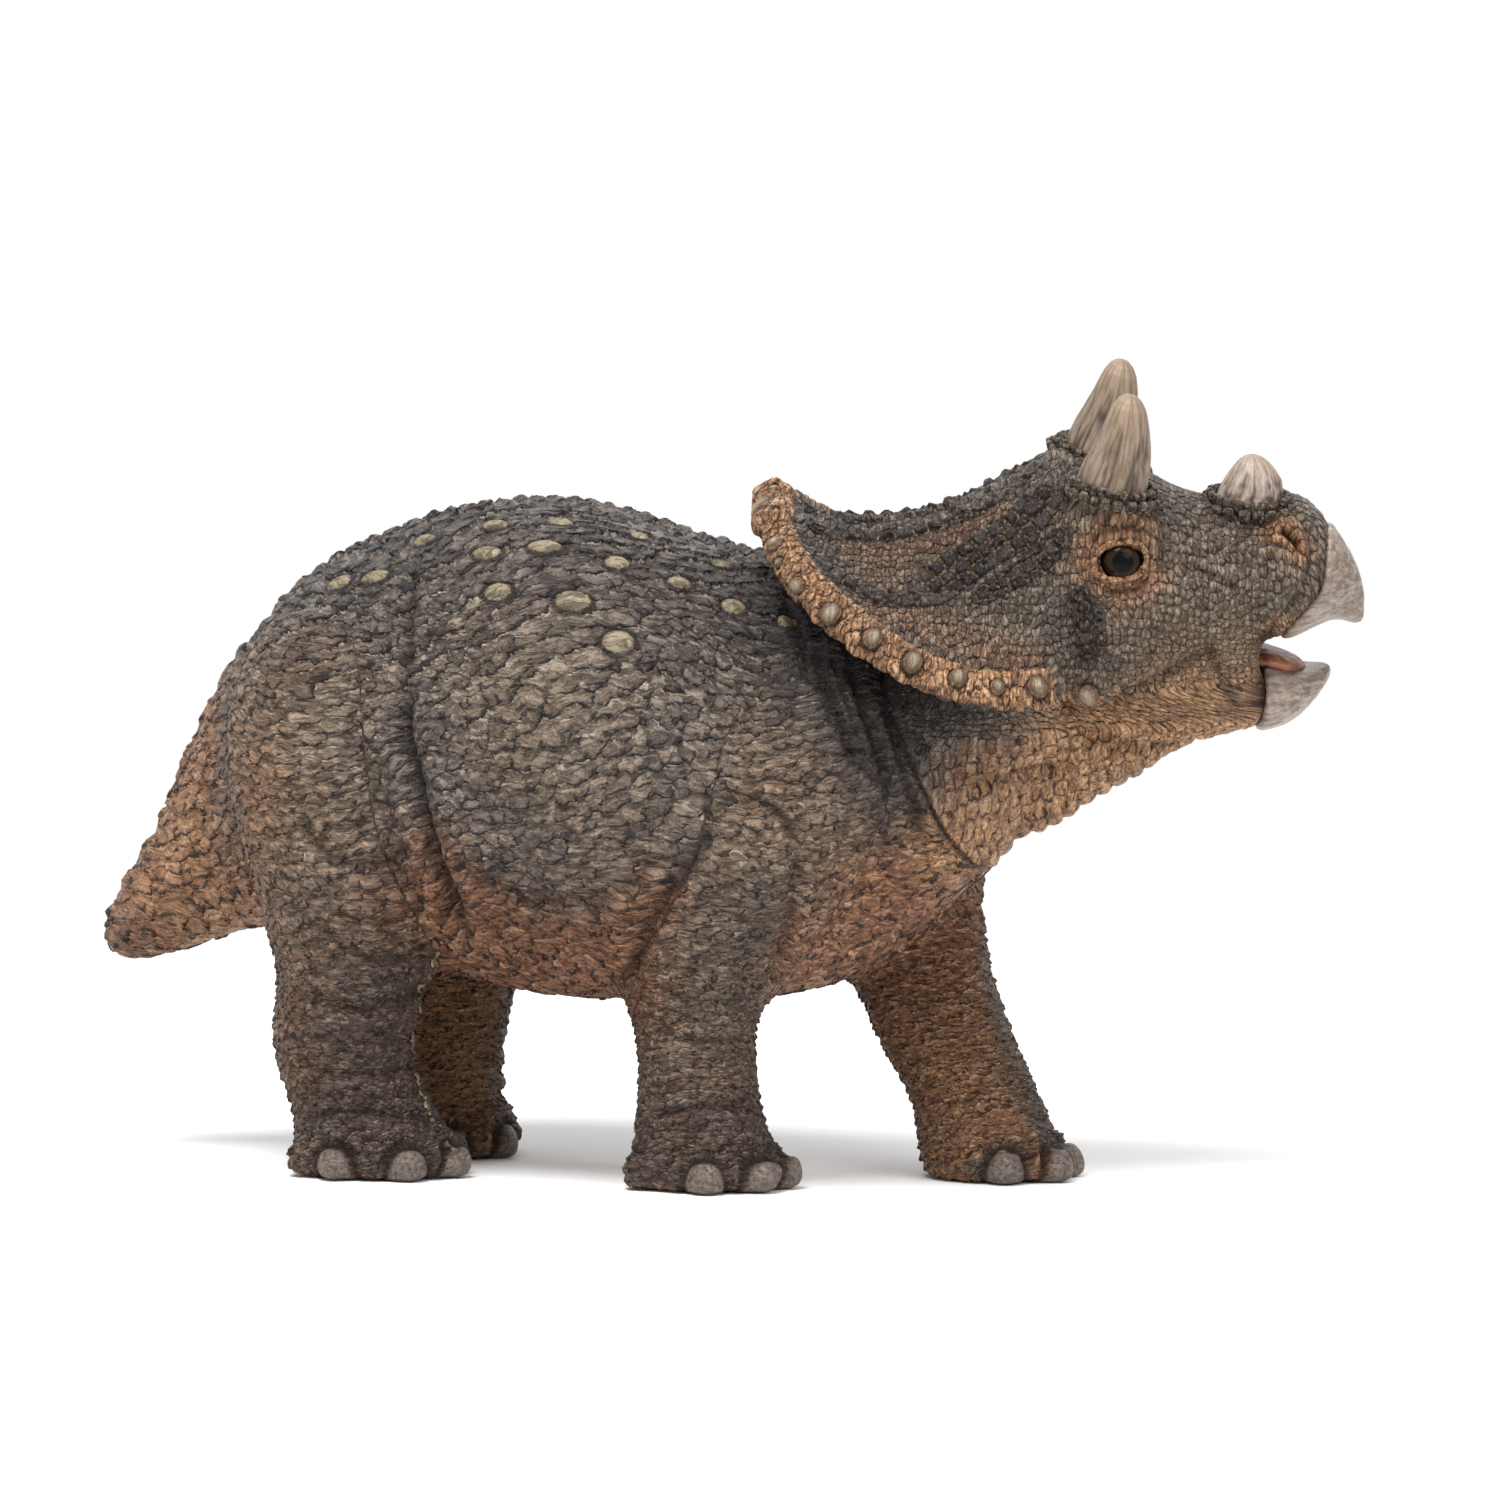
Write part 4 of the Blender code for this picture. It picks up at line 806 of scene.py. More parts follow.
# Plates: how uneven their cells are, how far the pattern of each band is from the next one's, how
# far the bands' edges and the cells wobble, how high a plate and its middle stand, in mm, over
# what share of a cell that rises, and how much of the scales they hide
PLATE_SCATTER, BAND_GAP, BAND_START = 0.5, 5, 0.3
BAND_WOBBLE, PLATE_WOBBLE = 0.25, 0.12
PLATE_RISE, PLATE_MIDDLE_RISE, PLATE_SLOPE = 0.10, 0.32, (0.03, 0.22)
SCALES_HIDDEN = 0.7
PIT_GRAIN = 0.8


def lay_plates():
    """Bands of larger, darker scales, whose pattern runs along the band."""
    for band, (half_width, size, pixels) in enumerate(PLATES):
        for way in both_sides(line_on_skin(pixels), "head"):
            near, far, along = from_line(way, half_width + 0.5)
            inside = half_width - far + WOBBLE[near, 0] * BAND_WOBBLE
            side = np.sign(in_head(way)[:, 1].mean())
            better = (inside > PLATE[near]) & (LOCAL[near, 1] * side > 0)
            near, far, along, inside = (v[better] for v in (near, far, along, inside))
            total = np.linalg.norm(np.diff(way, axis=0), axis=1).sum() / MM
            apart = np.full(len(near), BAND_START + BAND_GAP * band)
            PLATE[near] = inside
            PLATE_AT[near] = np.stack([along * total / size, far / size + BAND_START, apart], 1)
            PLATE_AT[near] += WOBBLE[near] * PLATE_WOBBLE
    near = np.flatnonzero(PLATE > -0.3)
    edge, = texture("ShaderNodeTexVoronoi", PLATE_AT[near], ["Distance"],
                    feature="DISTANCE_TO_EDGE", Scale=1.0, Randomness=PLATE_SCATTER)
    inside = smooth(PLATE[near], 0.0, 0.15)
    CARVED[near] += inside * (PLATE_RISE + PLATE_MIDDLE_RISE * smooth(edge, *PLATE_SLOPE))
    AMOUNT[near] *= 1 - SCALES_HIDDEN * inside


def pit_frill():
    for radius, pixels in PITS:
        for near, far, _ in strokes("head", pixels, radius * 2):
            GRAIN[near] = np.maximum(GRAIN[near], PIT_GRAIN * bell(far, 0, radius))


# The neck seam: half width and depth in mm, and how near both mouldings have to be
SEAM_WIDTH, SEAM_DEPTH, SEAM_REACH, SEAM_WOBBLE = 0.26, 0.40, 2.0, 0.12


def cut_neck_seam():
    """The dark line where the head moulding is glued on."""
    body, head = (DISTANCES[:, SKIN_NODES.index(name)] for name in ("body", "head"))
    off = (POINTS - NECK_CENTRE) @ NECK_AHEAD / MM + WOBBLE[:, 1] * SEAM_WOBBLE
    share = bell(off, 0, SEAM_WIDTH) * (np.maximum(body, head) < SEAM_REACH * MM)
    CARVED[:] -= SEAM_DEPTH * share
    STAIN_AND_SHADE[:] = np.maximum(STAIN_AND_SHADE, share)


def mark_pale(near, r, kind, clear, reach=np.inf):
    """Pale paint on a raised place, where r is 1 at its edge, and no scales on it."""
    PALE[near] = np.minimum(PALE[near], r)
    PALE_KIND[near[r < reach]] = kind
    AMOUNT[near] *= smooth(r, *clear)


# Heights of raised places and depths of the rings round them, in mm. Rings lie at shares of the
# place's radius, and so do the distances between which the scales come back.
SPOT_RISE, SPOT_EDGE, SPOT_RING = 0.42, (0.55, 1.15), (0.22, 1.3, 0.16)
STUD_RISE, KNOB_RISE, STUD_RING = 0.55, 0.7, (0.30, 1.2, 0.2)
SPOT_CLEAR, STUD_CLEAR, NAIL_CLEAR = (0.8, 1.4), (0.9, 1.5), (0.95, 1.3)


def dome(r):
    return np.sqrt(np.clip(1 - r ** 2, 0, 1))


def raise_spots():
    """Ovals on the back, longest along the body."""
    depth, ring_at, ring_width = SPOT_RING
    for x, y, long_half, short_half in SPOTS:
        for centre in both_sides(line_on_skin([(x, y)]), "body"):
            near, _, _ = from_line(centre, 4)
            rel = (POINTS[near] - centre[0]) / MM
            normal = NORMALS[near[np.argmin((rel ** 2).sum(1))]]
            ahead = np.array((1.0, 0.0, 0.0)) - normal * normal[0]
            ahead /= np.linalg.norm(ahead)
            across = np.cross(normal, ahead)
            r = np.hypot(rel @ ahead / long_half, rel @ across / short_half)
            rise = SPOT_RISE * (1 - smooth(r, *SPOT_EDGE))
            CARVED[near] += rise - depth * bell(r, ring_at, ring_width)
            mark_pale(near, r, OVAL, SPOT_CLEAR)


def raise_studs():
    """Studs on the frill's rim and knobs on the cheeks."""
    depth, ring_at, ring_width = STUD_RING
    for group, height in ((STUDS, STUD_RISE), (KNOBS, KNOB_RISE)):
        for x, y, radius in group:
            for near, far, _ in strokes("head", [(x, y)], 3):
                r = far / radius
                CARVED[near] += height * radius * dome(r) - depth * bell(r, ring_at, ring_width)
                mark_pale(near, r, STUD, STUD_CLEAR)


# The mould line: half width, height and the depth of the ditches beside it, in mm
MOULD_WIDTH, MOULD_RISE, MOULD_DITCH, MOULD_DITCH_AT, MOULD_DITCH_WIDTH = 0.30, 0.25, 0.30, 2.2, 0.9


def raise_mould_line():
    for near, far, along in strokes("one", MOULD_LINE, 1.2):
        r = far / MOULD_WIDTH
        CARVED[near] += MOULD_RISE * bell(r, 0, 1)
        CARVED[near] -= MOULD_DITCH * bell(r, MOULD_DITCH_AT, MOULD_DITCH_WIDTH)
        broken = noise(np.stack([along * 9, along * 0, along * 0], 1), 0.5)
        PALE[near] = np.minimum(PALE[near], r + 1.2 * (1 - smooth(broken, -0.25, 0.1)))
        PALE_KIND[near] = np.maximum(PALE_KIND[near], OVAL)


# Nails: how far out of the foot, their squareness, their rise, and the cut and the fold round them
NAIL_OUT, NAIL_SQUARENESS, NAIL_RISE = 1.05, 2.4, 0.15
NAIL_CUT_AT, NAIL_CUT_WIDTH, NAIL_CUT_DEPTH, NAIL_TOP_DEPTH = 1.15, 0.16, 0.15, 0.45
NAIL_FOLD_AT, NAIL_FOLD_WIDTH, NAIL_FOLD_RISE = 1.6, 0.35, 0.6


def nail_places():
    """Where each nail sits on the skin, and the way across it."""
    for (x, y), (half_length, half_width), degrees in FEET.values():
        for degree in degrees:
            turn = math.radians(degree) * math.copysign(1, y)
            out = np.array((math.cos(turn) * half_length, math.sin(turn) * half_width, 0)) * MM
            centre = np.array((x, y, NAIL_HEIGHT)) * MM + out * NAIL_OUT
            away = out / np.linalg.norm(out)
            yield np.array(TREE.find_nearest(Vector(centre))[0]), np.array((-away[1], away[0], 0))


def raise_nails():
    for place, across in nail_places():
        near, _, _ = from_line(place[None], 4.5)
        rel = (POINTS[near] - place) / MM
        r = (np.abs(rel @ across / NAIL_HALF_WIDTH) ** NAIL_SQUARENESS
             + np.abs((rel[:, 2] + 0.1) / NAIL_HALF_HEIGHT) ** NAIL_SQUARENESS
             ) ** (1 / NAIL_SQUARENESS)
        upper = smooth(rel[:, 2], -0.4, 1.2)
        cut = (NAIL_CUT_DEPTH + NAIL_TOP_DEPTH * upper) * bell(r, NAIL_CUT_AT, NAIL_CUT_WIDTH)
        CARVED[near] += NAIL_RISE * dome(r) - cut
        CARVED[near] += NAIL_FOLD_RISE * bell(r, NAIL_FOLD_AT, NAIL_FOLD_WIDTH) * upper
        mark_pale(near, r, NAIL, NAIL_CLEAR, NAIL_FOLD_AT)


# Bumps along the back, in mm: gaps along and between their rows, and half sizes
BUMP_GAP, ROW_GAP, BUMP_HALF_LENGTH, BUMP_HALF_WIDTH = 2.1, 1.8, 1.0, 0.9


def raise_rows(mask, x, y, reach, height):
    """Staggered rows of bumps, y mm either side of a middle line that x mm runs along."""
    top = np.flatnonzero((NORMALS[:, 2] > 0.4) & mask & (np.abs(y) < reach))
    x, y = x[top], y[top]
    row = np.round(y / ROW_GAP)
    along = (x / BUMP_GAP + 0.5 * (row % 2) + WOBBLE[top, 0] * 0.15) % 1 - 0.5
    r = np.hypot(along * BUMP_GAP / BUMP_HALF_LENGTH, (y - row * ROW_GAP) / BUMP_HALF_WIDTH)
    share = smooth(reach - np.abs(y), 0, 1.5)
    CARVED[top] += height * (1 - smooth(r, 0.2, 1.05)) * share
    AMOUNT[top] *= 1 - 0.5 * share


def raise_backs():
    """The bumps along the back and the tail, and those along the ridge of the frill."""
    raise_rows(~IS_HEAD, POINTS[:, 0] / MM, (POINTS[:, 1] - MIDDLE_Y) / MM, 5.0, 0.50)
    ahead, aside, _ = LOCAL.T
    raise_rows(IS_HEAD & (ahead < 9), ahead, aside, 6.5, 0.42)


# Rows of scales across the throat: gap and depth in mm, where they end ahead, and the dark wash and
# painted shade in their grooves
THROAT_GAP, THROAT_DEPTH, THROAT_END, THROAT_STAIN_AND_SHADE = 1.9, 0.55, 18, 0.6


def wrinkle_throat():
    """Rows of square scales across the neck, deepest under the throat."""
    ahead, _, up = LOCAL.T
    under = smooth(-NORMALS[:, 2], 0.1, 0.8) * IS_HEAD * smooth(THROAT_END - ahead, 0, 4)
    at = (ahead + 0.25 * up + WOBBLE[:, 0] * 0.3) / THROAT_GAP
    wave = np.abs(np.sin(math.pi * at))
    CARVED[:] += under * (wave ** 0.6 - 0.6) * THROAT_DEPTH
    # Dark wash and painted shade in the grooves between the rows
    STAIN_AND_SHADE[:] = np.maximum(STAIN_AND_SHADE, under * smooth(-wave, -0.30, 0.0) * THROAT_STAIN_AND_SHADE)


for work in (carve_folds, paint, swell, raise_rim, lay_plates, pit_frill, cut_neck_seam, raise_spots,
             raise_studs, raise_mould_line, raise_nails, raise_backs, wrinkle_throat):
    work()


# Scale pattern: where each point lies in units of one scale

# A body scale's length, breadth and height in mm, and how far the pattern wobbles and drifts
SCALE_SIZE = np.array((2.25, 1.75, 1.40))
SCALE_WOBBLE, SCALE_DRIFT = 0.45, 3

# How much finer a leg's scales are than the body's at its top, how much more so at its foot, the
# heights in metres between which that comes in, and the heights where it is added up
LEG_FINER, FOOT_FINER, FINER_HEIGHTS = 1.15, 0.60, (0.036, 0.016)
LEG_STEPS = np.linspace(0, 0.06, 61)

# The head's pattern: pattern length of a radian round it, the height of the axis it runs round
# and of its layer of cells, how fine it is, how much coarser down the neck, over which mm, and
# its wobble
HEAD_ROUND, HEAD_AXIS, HEAD_LAYER = 11.0, 2.0, 0.45
HEAD_FINER, NECK_COARSER, NECK_HEIGHTS = 1.32, 0.46, (-3.5, -9.0)
HEAD_WOBBLE = 0.22

# Each skin's slope of a scale, how uneven its cells are, and how deep the gaps between them
BODY_SCALES = ((0.42, 0.0, -0.90), 0.90, 0.25)
HEAD_SCALES = ((0.35, 0.55, 0.0), 0.65, 0.85)

# A scale's jagged outline, its height in the middle, along its slope and by chance, its gaps' width
JAG, JAG_SCALE = 0.55, 2.2
SCALE_MIDDLE, SCALE_SLOPE, SCALE_CHANCE, SCALE_GAP = 0.55, 1.2, 0.3, 0.14


def leg_pattern(points, name):
    """Scales that get finer down a leg, about its own axis."""
    z = points[:, 2]
    finer = LEG_FINER + FOOT_FINER * smooth(LEG_STEPS, *FINER_HEIGHTS)
    risen = np.cumsum((finer[1:] + finer[:-1]) / 2 * np.diff(LEG_STEPS))
    risen = np.concatenate([[0], risen])
    middle = LEG_LINES[name][len(LEG_HEIGHTS) // 2, :2]
    made = points.copy()
    made[:, :2] = middle + (points[:, :2] - middle) * np.interp(z, LEG_STEPS, finer)[:, None]
    made[:, 2] = np.interp(z, LEG_STEPS, risen) - risen[-1] + LEG_STEPS[-1]
    return made


def head_pattern():
    """Finer scales that run round the head, and get larger down the neck."""
    ahead, aside, up = LOCAL.T
    turn = np.arctan2(np.abs(aside), up + HEAD_AXIS)
    at = np.stack([ahead, turn * HEAD_ROUND, np.full_like(ahead, HEAD_LAYER)], 1)
    at[:, :2] *= (HEAD_FINER - NECK_COARSER * smooth(up, *NECK_HEIGHTS))[:, None]
    at[:, :2] += WOBBLE[:, :2] * HEAD_WOBBLE
    return at


def scale_pattern():
    at = POINTS.copy()
    for number, name in enumerate(SKIN_NODES):
        if "leg" in name:
            mine = OWNER == number
            at[mine] = leg_pattern(POINTS[mine], name)
    drift = noise_vector(24, 0.0, (20, 60, 100))
    at = at / MM / SCALE_SIZE + WOBBLE * SCALE_WOBBLE + drift * SCALE_DRIFT
    at[IS_HEAD] = head_pattern()[IS_HEAD]
    return at


def press_scales():
    """How high each point stands on its scale, with the same small warp that the paint has."""
    height = np.zeros(len(POINTS))
    for mask, (lean, scatter, groove) in ((~IS_HEAD, BODY_SCALES), (IS_HEAD, HEAD_SCALES)):
        coords = SCALE_AT[mask]
        colour, = texture("ShaderNodeTexNoise", coords, ["Color"], Scale=JAG_SCALE, Detail=2.0)
        coords = coords + (colour - 0.5) * JAG
        edge, = texture("ShaderNodeTexVoronoi", coords, ["Distance"],
                        feature="DISTANCE_TO_EDGE", Scale=1.0, Randomness=scatter)
        colour, place = texture("ShaderNodeTexVoronoi", coords, ["Color", "Position"],
                                feature="F1", Scale=1.0, Randomness=scatter)
        slope = (coords - place) @ np.array(lean)
        top = SCALE_MIDDLE + SCALE_SLOPE * slope + SCALE_CHANCE * (colour[:, 0] - 0.5)
        height[mask] = top * (1 - groove * (1 - smooth(edge, 0, SCALE_GAP)))
    return height


# Height of a scale on the head, on the body and, on top of that, on the back; then of large and
# small lumps and of the grain, in mm; and the lowest that a point may lie, in metres
HEAD_RISE, BODY_RISE, BACK_RISE = 0.19, 0.38, 0.20
LUMP_RISE, SMALL_LUMP_RISE, GRAIN_RISE = 0.22, 0.06, 0.5
LOWEST = 0.00002


def pressed_points():
    """The skin's points after all the relief, none of them below the soles."""
    back = smooth(NORMALS[:, 2], 0.75, 0.98) * ~IS_HEAD
    amount = AMOUNT * (np.where(IS_HEAD, HEAD_RISE, BODY_RISE) + BACK_RISE * back)
    lumps = noise(POINTS, 7 * MM) * LUMP_RISE + noise(POINTS, 2.2 * MM) * SMALL_LUMP_RISE
    scales = amount * (press_scales() - 0.5)
    grains = noise(POINTS, 1.1 * MM, 3.0) * GRAIN * GRAIN_RISE * smooth(PALE, 1.0, 1.4)
    made = POINTS + NORMALS * ((CARVED + scales + lumps + grains) * MM)[:, None]
    made[:, 2] = np.maximum(made[:, 2], LOWEST)
    return made


SCALE_AT = scale_pattern()
PRESSED = pressed_points()
move_points(SKIN, PRESSED)
PRESSED_NORMALS = normals_of(SKIN)
PRESSED_NORMALS /= np.maximum(np.linalg.norm(PRESSED_NORMALS, axis=1), 1e-9)[:, None]


# Parting the skin into one closed piece for each node

def owners_of_faces():
    """The node of each face, after a vote among its neighbours that smooths the seams."""
    face = DISTANCES[QUADS].mean(1).argmin(1)
    for _ in range(5):
        votes = np.zeros((len(POINTS), len(SKIN_NODES)))
        for k in range(4):
            np.add.at(votes, (QUADS[:, k], face), 1)
        face = votes[QUADS].sum(1).argmax(1)
    return face


def loops_of(faces):
    """The boundary of a set of faces, as closed loops of point indices."""
    ends = np.stack([faces, np.roll(faces, -1, 1)], 2).reshape(-1, 2)
    keys = np.sort(ends, 1).astype(np.int64)
    _, index, count = np.unique(keys[:, 0] * (keys.max() + 1) + keys[:, 1],
                                return_inverse=True, return_counts=True)
    after = {}
    for a, b in ends[count[index.ravel()] == 1]:
        after.setdefault(int(a), []).append(int(b))
    loops = []
    while after:
        start = next(iter(after))
        loop = [start]
        while True:
            options = after[loop[-1]]
            step = options.pop()
            if not options:
                del after[loop[-1]]
            if step == start:
                break
            loop.append(step)
        loops.append(loop)
    return loops


# How far in each piece's caps lie, in mm, and how much smaller they are than the opening
CAP_DEPTH, LEG_CAP_DEPTH, CAP_SHRINK = 1.4, 1.0, 0.04


def closed_piece(name, faces, deep):
    """A piece of the skin with a sunken cap over each of its openings."""
    used = np.unique(faces)
    index = np.full(len(PRESSED), -1)
    index[used] = np.arange(len(used))
    co, way = [PRESSED[used]], [PRESSED_NORMALS[used]]
    quads, triangles = [index[faces]], []
    count = len(used)
    for loop in loops_of(faces):
        ring = np.array(loop)
        inner = PRESSED[ring] - PRESSED_NORMALS[ring] * deep
        middle = inner.mean(0)
        inner = inner + (middle - inner) * CAP_SHRINK
        inside = count + np.arange(len(ring))
        outside = index[ring]
        co += [inner, middle[None]]
        way += [PRESSED_NORMALS[ring], PRESSED_NORMALS[ring].mean(0)[None]]
        centre = np.full(len(ring), count + len(ring))
        quads.append(np.stack([np.roll(outside, -1), outside, inside, np.roll(inside, -1)], 1))
        triangles.append(np.stack([np.roll(inside, -1), inside, centre], 1))
        count += len(ring) + 1
    mesh = new_mesh(name, np.vstack(co), [np.vstack(quads)] + triangles)
    mesh.normals_split_custom_set_from_vertices(np.vstack(way).tolist())
    return mesh, used, count - len(used)


def build_skin():
    owners = owners_of_faces()
    fields = {
        "scale_at": SCALE_AT, "rest_at": POINTS / MM, "tone": TONE,
        "mark": np.stack([STAIN_AND_SHADE, PALE, PALE_KIND], 1),
        "plate": np.stack([PLATE, GRAIN, GRAIN * 0], 1), "plate_at": PLATE_AT,
    }
    for k, name in enumerate(SKIN_NODES):
        deep = (LEG_CAP_DEPTH if "leg" in name else CAP_DEPTH) * MM
        mesh, used, extra = closed_piece(name + "_skin", QUADS[owners == k], deep)
        for field, values in fields.items():
            values = values[used]
            vector_attribute(mesh, field, np.vstack([values, np.repeat(values[:1], extra, 0)]))
        mesh.materials.append(HEAD_PAINT if name == "head" else BODY_PAINT)
        piece(mesh.name, mesh, name)


# Paints

# Display colours of 0 to 255: both ends of each paint's range, then single ones
PAINTS = {
    "cool": ((91, 83, 80), (119, 108, 102)), "warm": ((144, 95, 67), (168, 120, 88)),
    "amber": ((172, 122, 80), (226, 179, 134)), "olive": ((120, 102, 82), (150, 130, 106)),
    # light is dry-brushed paint and painted highlight on the scales' crests
    "blotch": ((70, 62, 58), (98, 64, 45)), "light": ((176, 164, 146), (204, 168, 134)),
    "wash_and_shade": ((15, 11, 12), (38, 18, 10)), "stain": ((28, 22, 20), (50, 25, 14)),
    # gap runs from dark painted shade to tan paint
    "slate": ((24, 20, 20), (76, 68, 64)), "gap": ((34, 25, 20), (134, 112, 87)),
    "cream": ((78, 67, 52), (136, 122, 96)), "pearl": ((160, 144, 122), (92, 70, 50)),
    "nail": ((66, 55, 48), (124, 112, 102)), "beak": ((104, 88, 77), (163, 149, 137)),
    "brow horn": ((98, 78, 63), (146, 127, 108)), "nose horn": ((114, 96, 85), (168, 153, 140)),
    "mouth": ((84, 42, 26), (150, 94, 66)), "iris": ((16, 8, 5), (54, 31, 17)),
}
COLOURS = {
    # plate crest is pale paint and painted highlight on the plates
    "plate crest": (128, 118, 108), "shade": (26, 20, 19), "ring": (38, 26, 20),
    # The horns' dirt colours are dark wash and painted shade in their flutes, and their dark joint
    # lines
    "pearl dirt": (84, 64, 48), "horn tip": (150, 128, 100), "brow horn dirt": (40, 26, 19),
    "nose horn dirt": (50, 34, 26), "beak dirt": (92, 75, 64), "pupil": (6, 4, 4),
    "iris edge": (10, 6, 5), "floor": (252, 252, 252),
}


def linear(channels):
    """A display colour of 0 to 255 as the linear one that a shader takes."""
    return tuple(
        c / 12.92 if c <= 0.04045 else ((c + 0.055) / 1.055) ** 2.4
        for c in (channel / 255 for channel in channels)
    )


class Nodes:
    """Short ways to make shader nodes."""

    def __init__(self, name):
        self.material = bpy.data.materials.new(name)
        self.material.use_nodes = True
        self.tree = self.material.node_tree
        self.shader = self.tree.nodes["Principled BSDF"]

    def put(self, socket, value):
        if isinstance(value, bpy.types.NodeSocket):
            self.tree.links.new(value, socket)
        elif socket.type == "RGBA" and len(value) == 3:
            socket.default_value = (*value, 1)
        else:
            socket.default_value = value

    def node(self, kind, inputs=None, **settings):
        made = self.tree.nodes.new(kind)
        for key, value in settings.items():
            setattr(made, key, value)
        for key, value in (inputs or {}).items():
            self.put(made.inputs[key], value)
        return made

    def attribute(self, name):
        return self.node("ShaderNodeAttribute", attribute_name=name).outputs["Vector"]

    def split(self, vector, count=3):
        return self.node("ShaderNodeSeparateXYZ", {0: vector}).outputs[:count]

    def math(self, operation, a, b=0.0):
        return self.node("ShaderNodeMath", {0: a, 1: b, 2: 0.0}, operation=operation).outputs[0]

    def times(self, a, b):
        return self.math("MULTIPLY", a, b)

    def plus(self, a, b):
        return self.math("ADD", a, b)

    def most(self, a, b):
        return self.math("MAXIMUM", a, b)

    def swing(self, value, size):
        """A noise of 0 to 1 as one about zero, of the given size."""
        return self.times(self.math("SUBTRACT", value, 0.5), size)

    def vector(self, operation, a, b=(0, 0, 0), scale=1.0):
        made = self.node("ShaderNodeVectorMath", {0: a, 1: b, 3: scale}, operation=operation)
        return made.outputs["Value" if operation in ("DOT_PRODUCT", "LENGTH") else "Vector"]

    def ramp(self, value, low, high, start=0.0, end=1.0):
        """Smooth step from start to end as value goes from low to high."""
        return self.node("ShaderNodeMapRange", {
            "Value": value, "From Min": low, "From Max": high, "To Min": start, "To Max": end,
        }, interpolation_type="SMOOTHSTEP").outputs["Result"]

    def mix(self, share, a, b):
        made = self.node("ShaderNodeMix", {0: share, 6: a, 7: b}, data_type="RGBA")
        return made.outputs[2]

    def over(self, below, above, share, strength=None):
        """A colour laid over another one, where a name stands for a colour of the table."""
        if isinstance(above, str):
            above = linear(COLOURS[above])
        return self.mix(share if strength is None else self.times(share, strength), below, above)

    def paint(self, name, share):
        """A paint of the table, from one end of its range to the other."""
        low, high = PAINTS[name]
        return self.mix(share, linear(low), linear(high))

    def noise(self, vector, scale, detail=2.0, rough=0.5):
        return self.node("ShaderNodeTexNoise", {
            "Vector": vector, "Scale": scale, "Detail": detail, "Roughness": rough,
        }).outputs["Fac"]

    def cells(self, vector, scatter):
        """Distance to the edge of a cell, its colour and its middle."""
        inputs = {"Vector": vector, "Scale": 1.0, "Randomness": scatter}
        edge = self.node("ShaderNodeTexVoronoi", inputs, feature="DISTANCE_TO_EDGE")
        cell = self.node("ShaderNodeTexVoronoi", inputs, feature="F1")
        return edge.outputs["Distance"], cell.outputs["Color"], cell.outputs["Position"]

    def coat(self, colour, rough, specular=None):
        self.put(self.shader.inputs["Base Color"], colour)
        self.put(self.shader.inputs["Roughness"], rough)
        if specular is not None:
            self.put(self.shader.inputs["Specular IOR Level"], specular)

    def bump(self, height, depth):
        """Relief in the paint, depth mm deep."""
        made = self.node("ShaderNodeBump", {
            "Height": height, "Strength": 1.0, "Distance": depth * MM,
        })
        self.put(self.shader.inputs["Normal"], made.outputs[0])


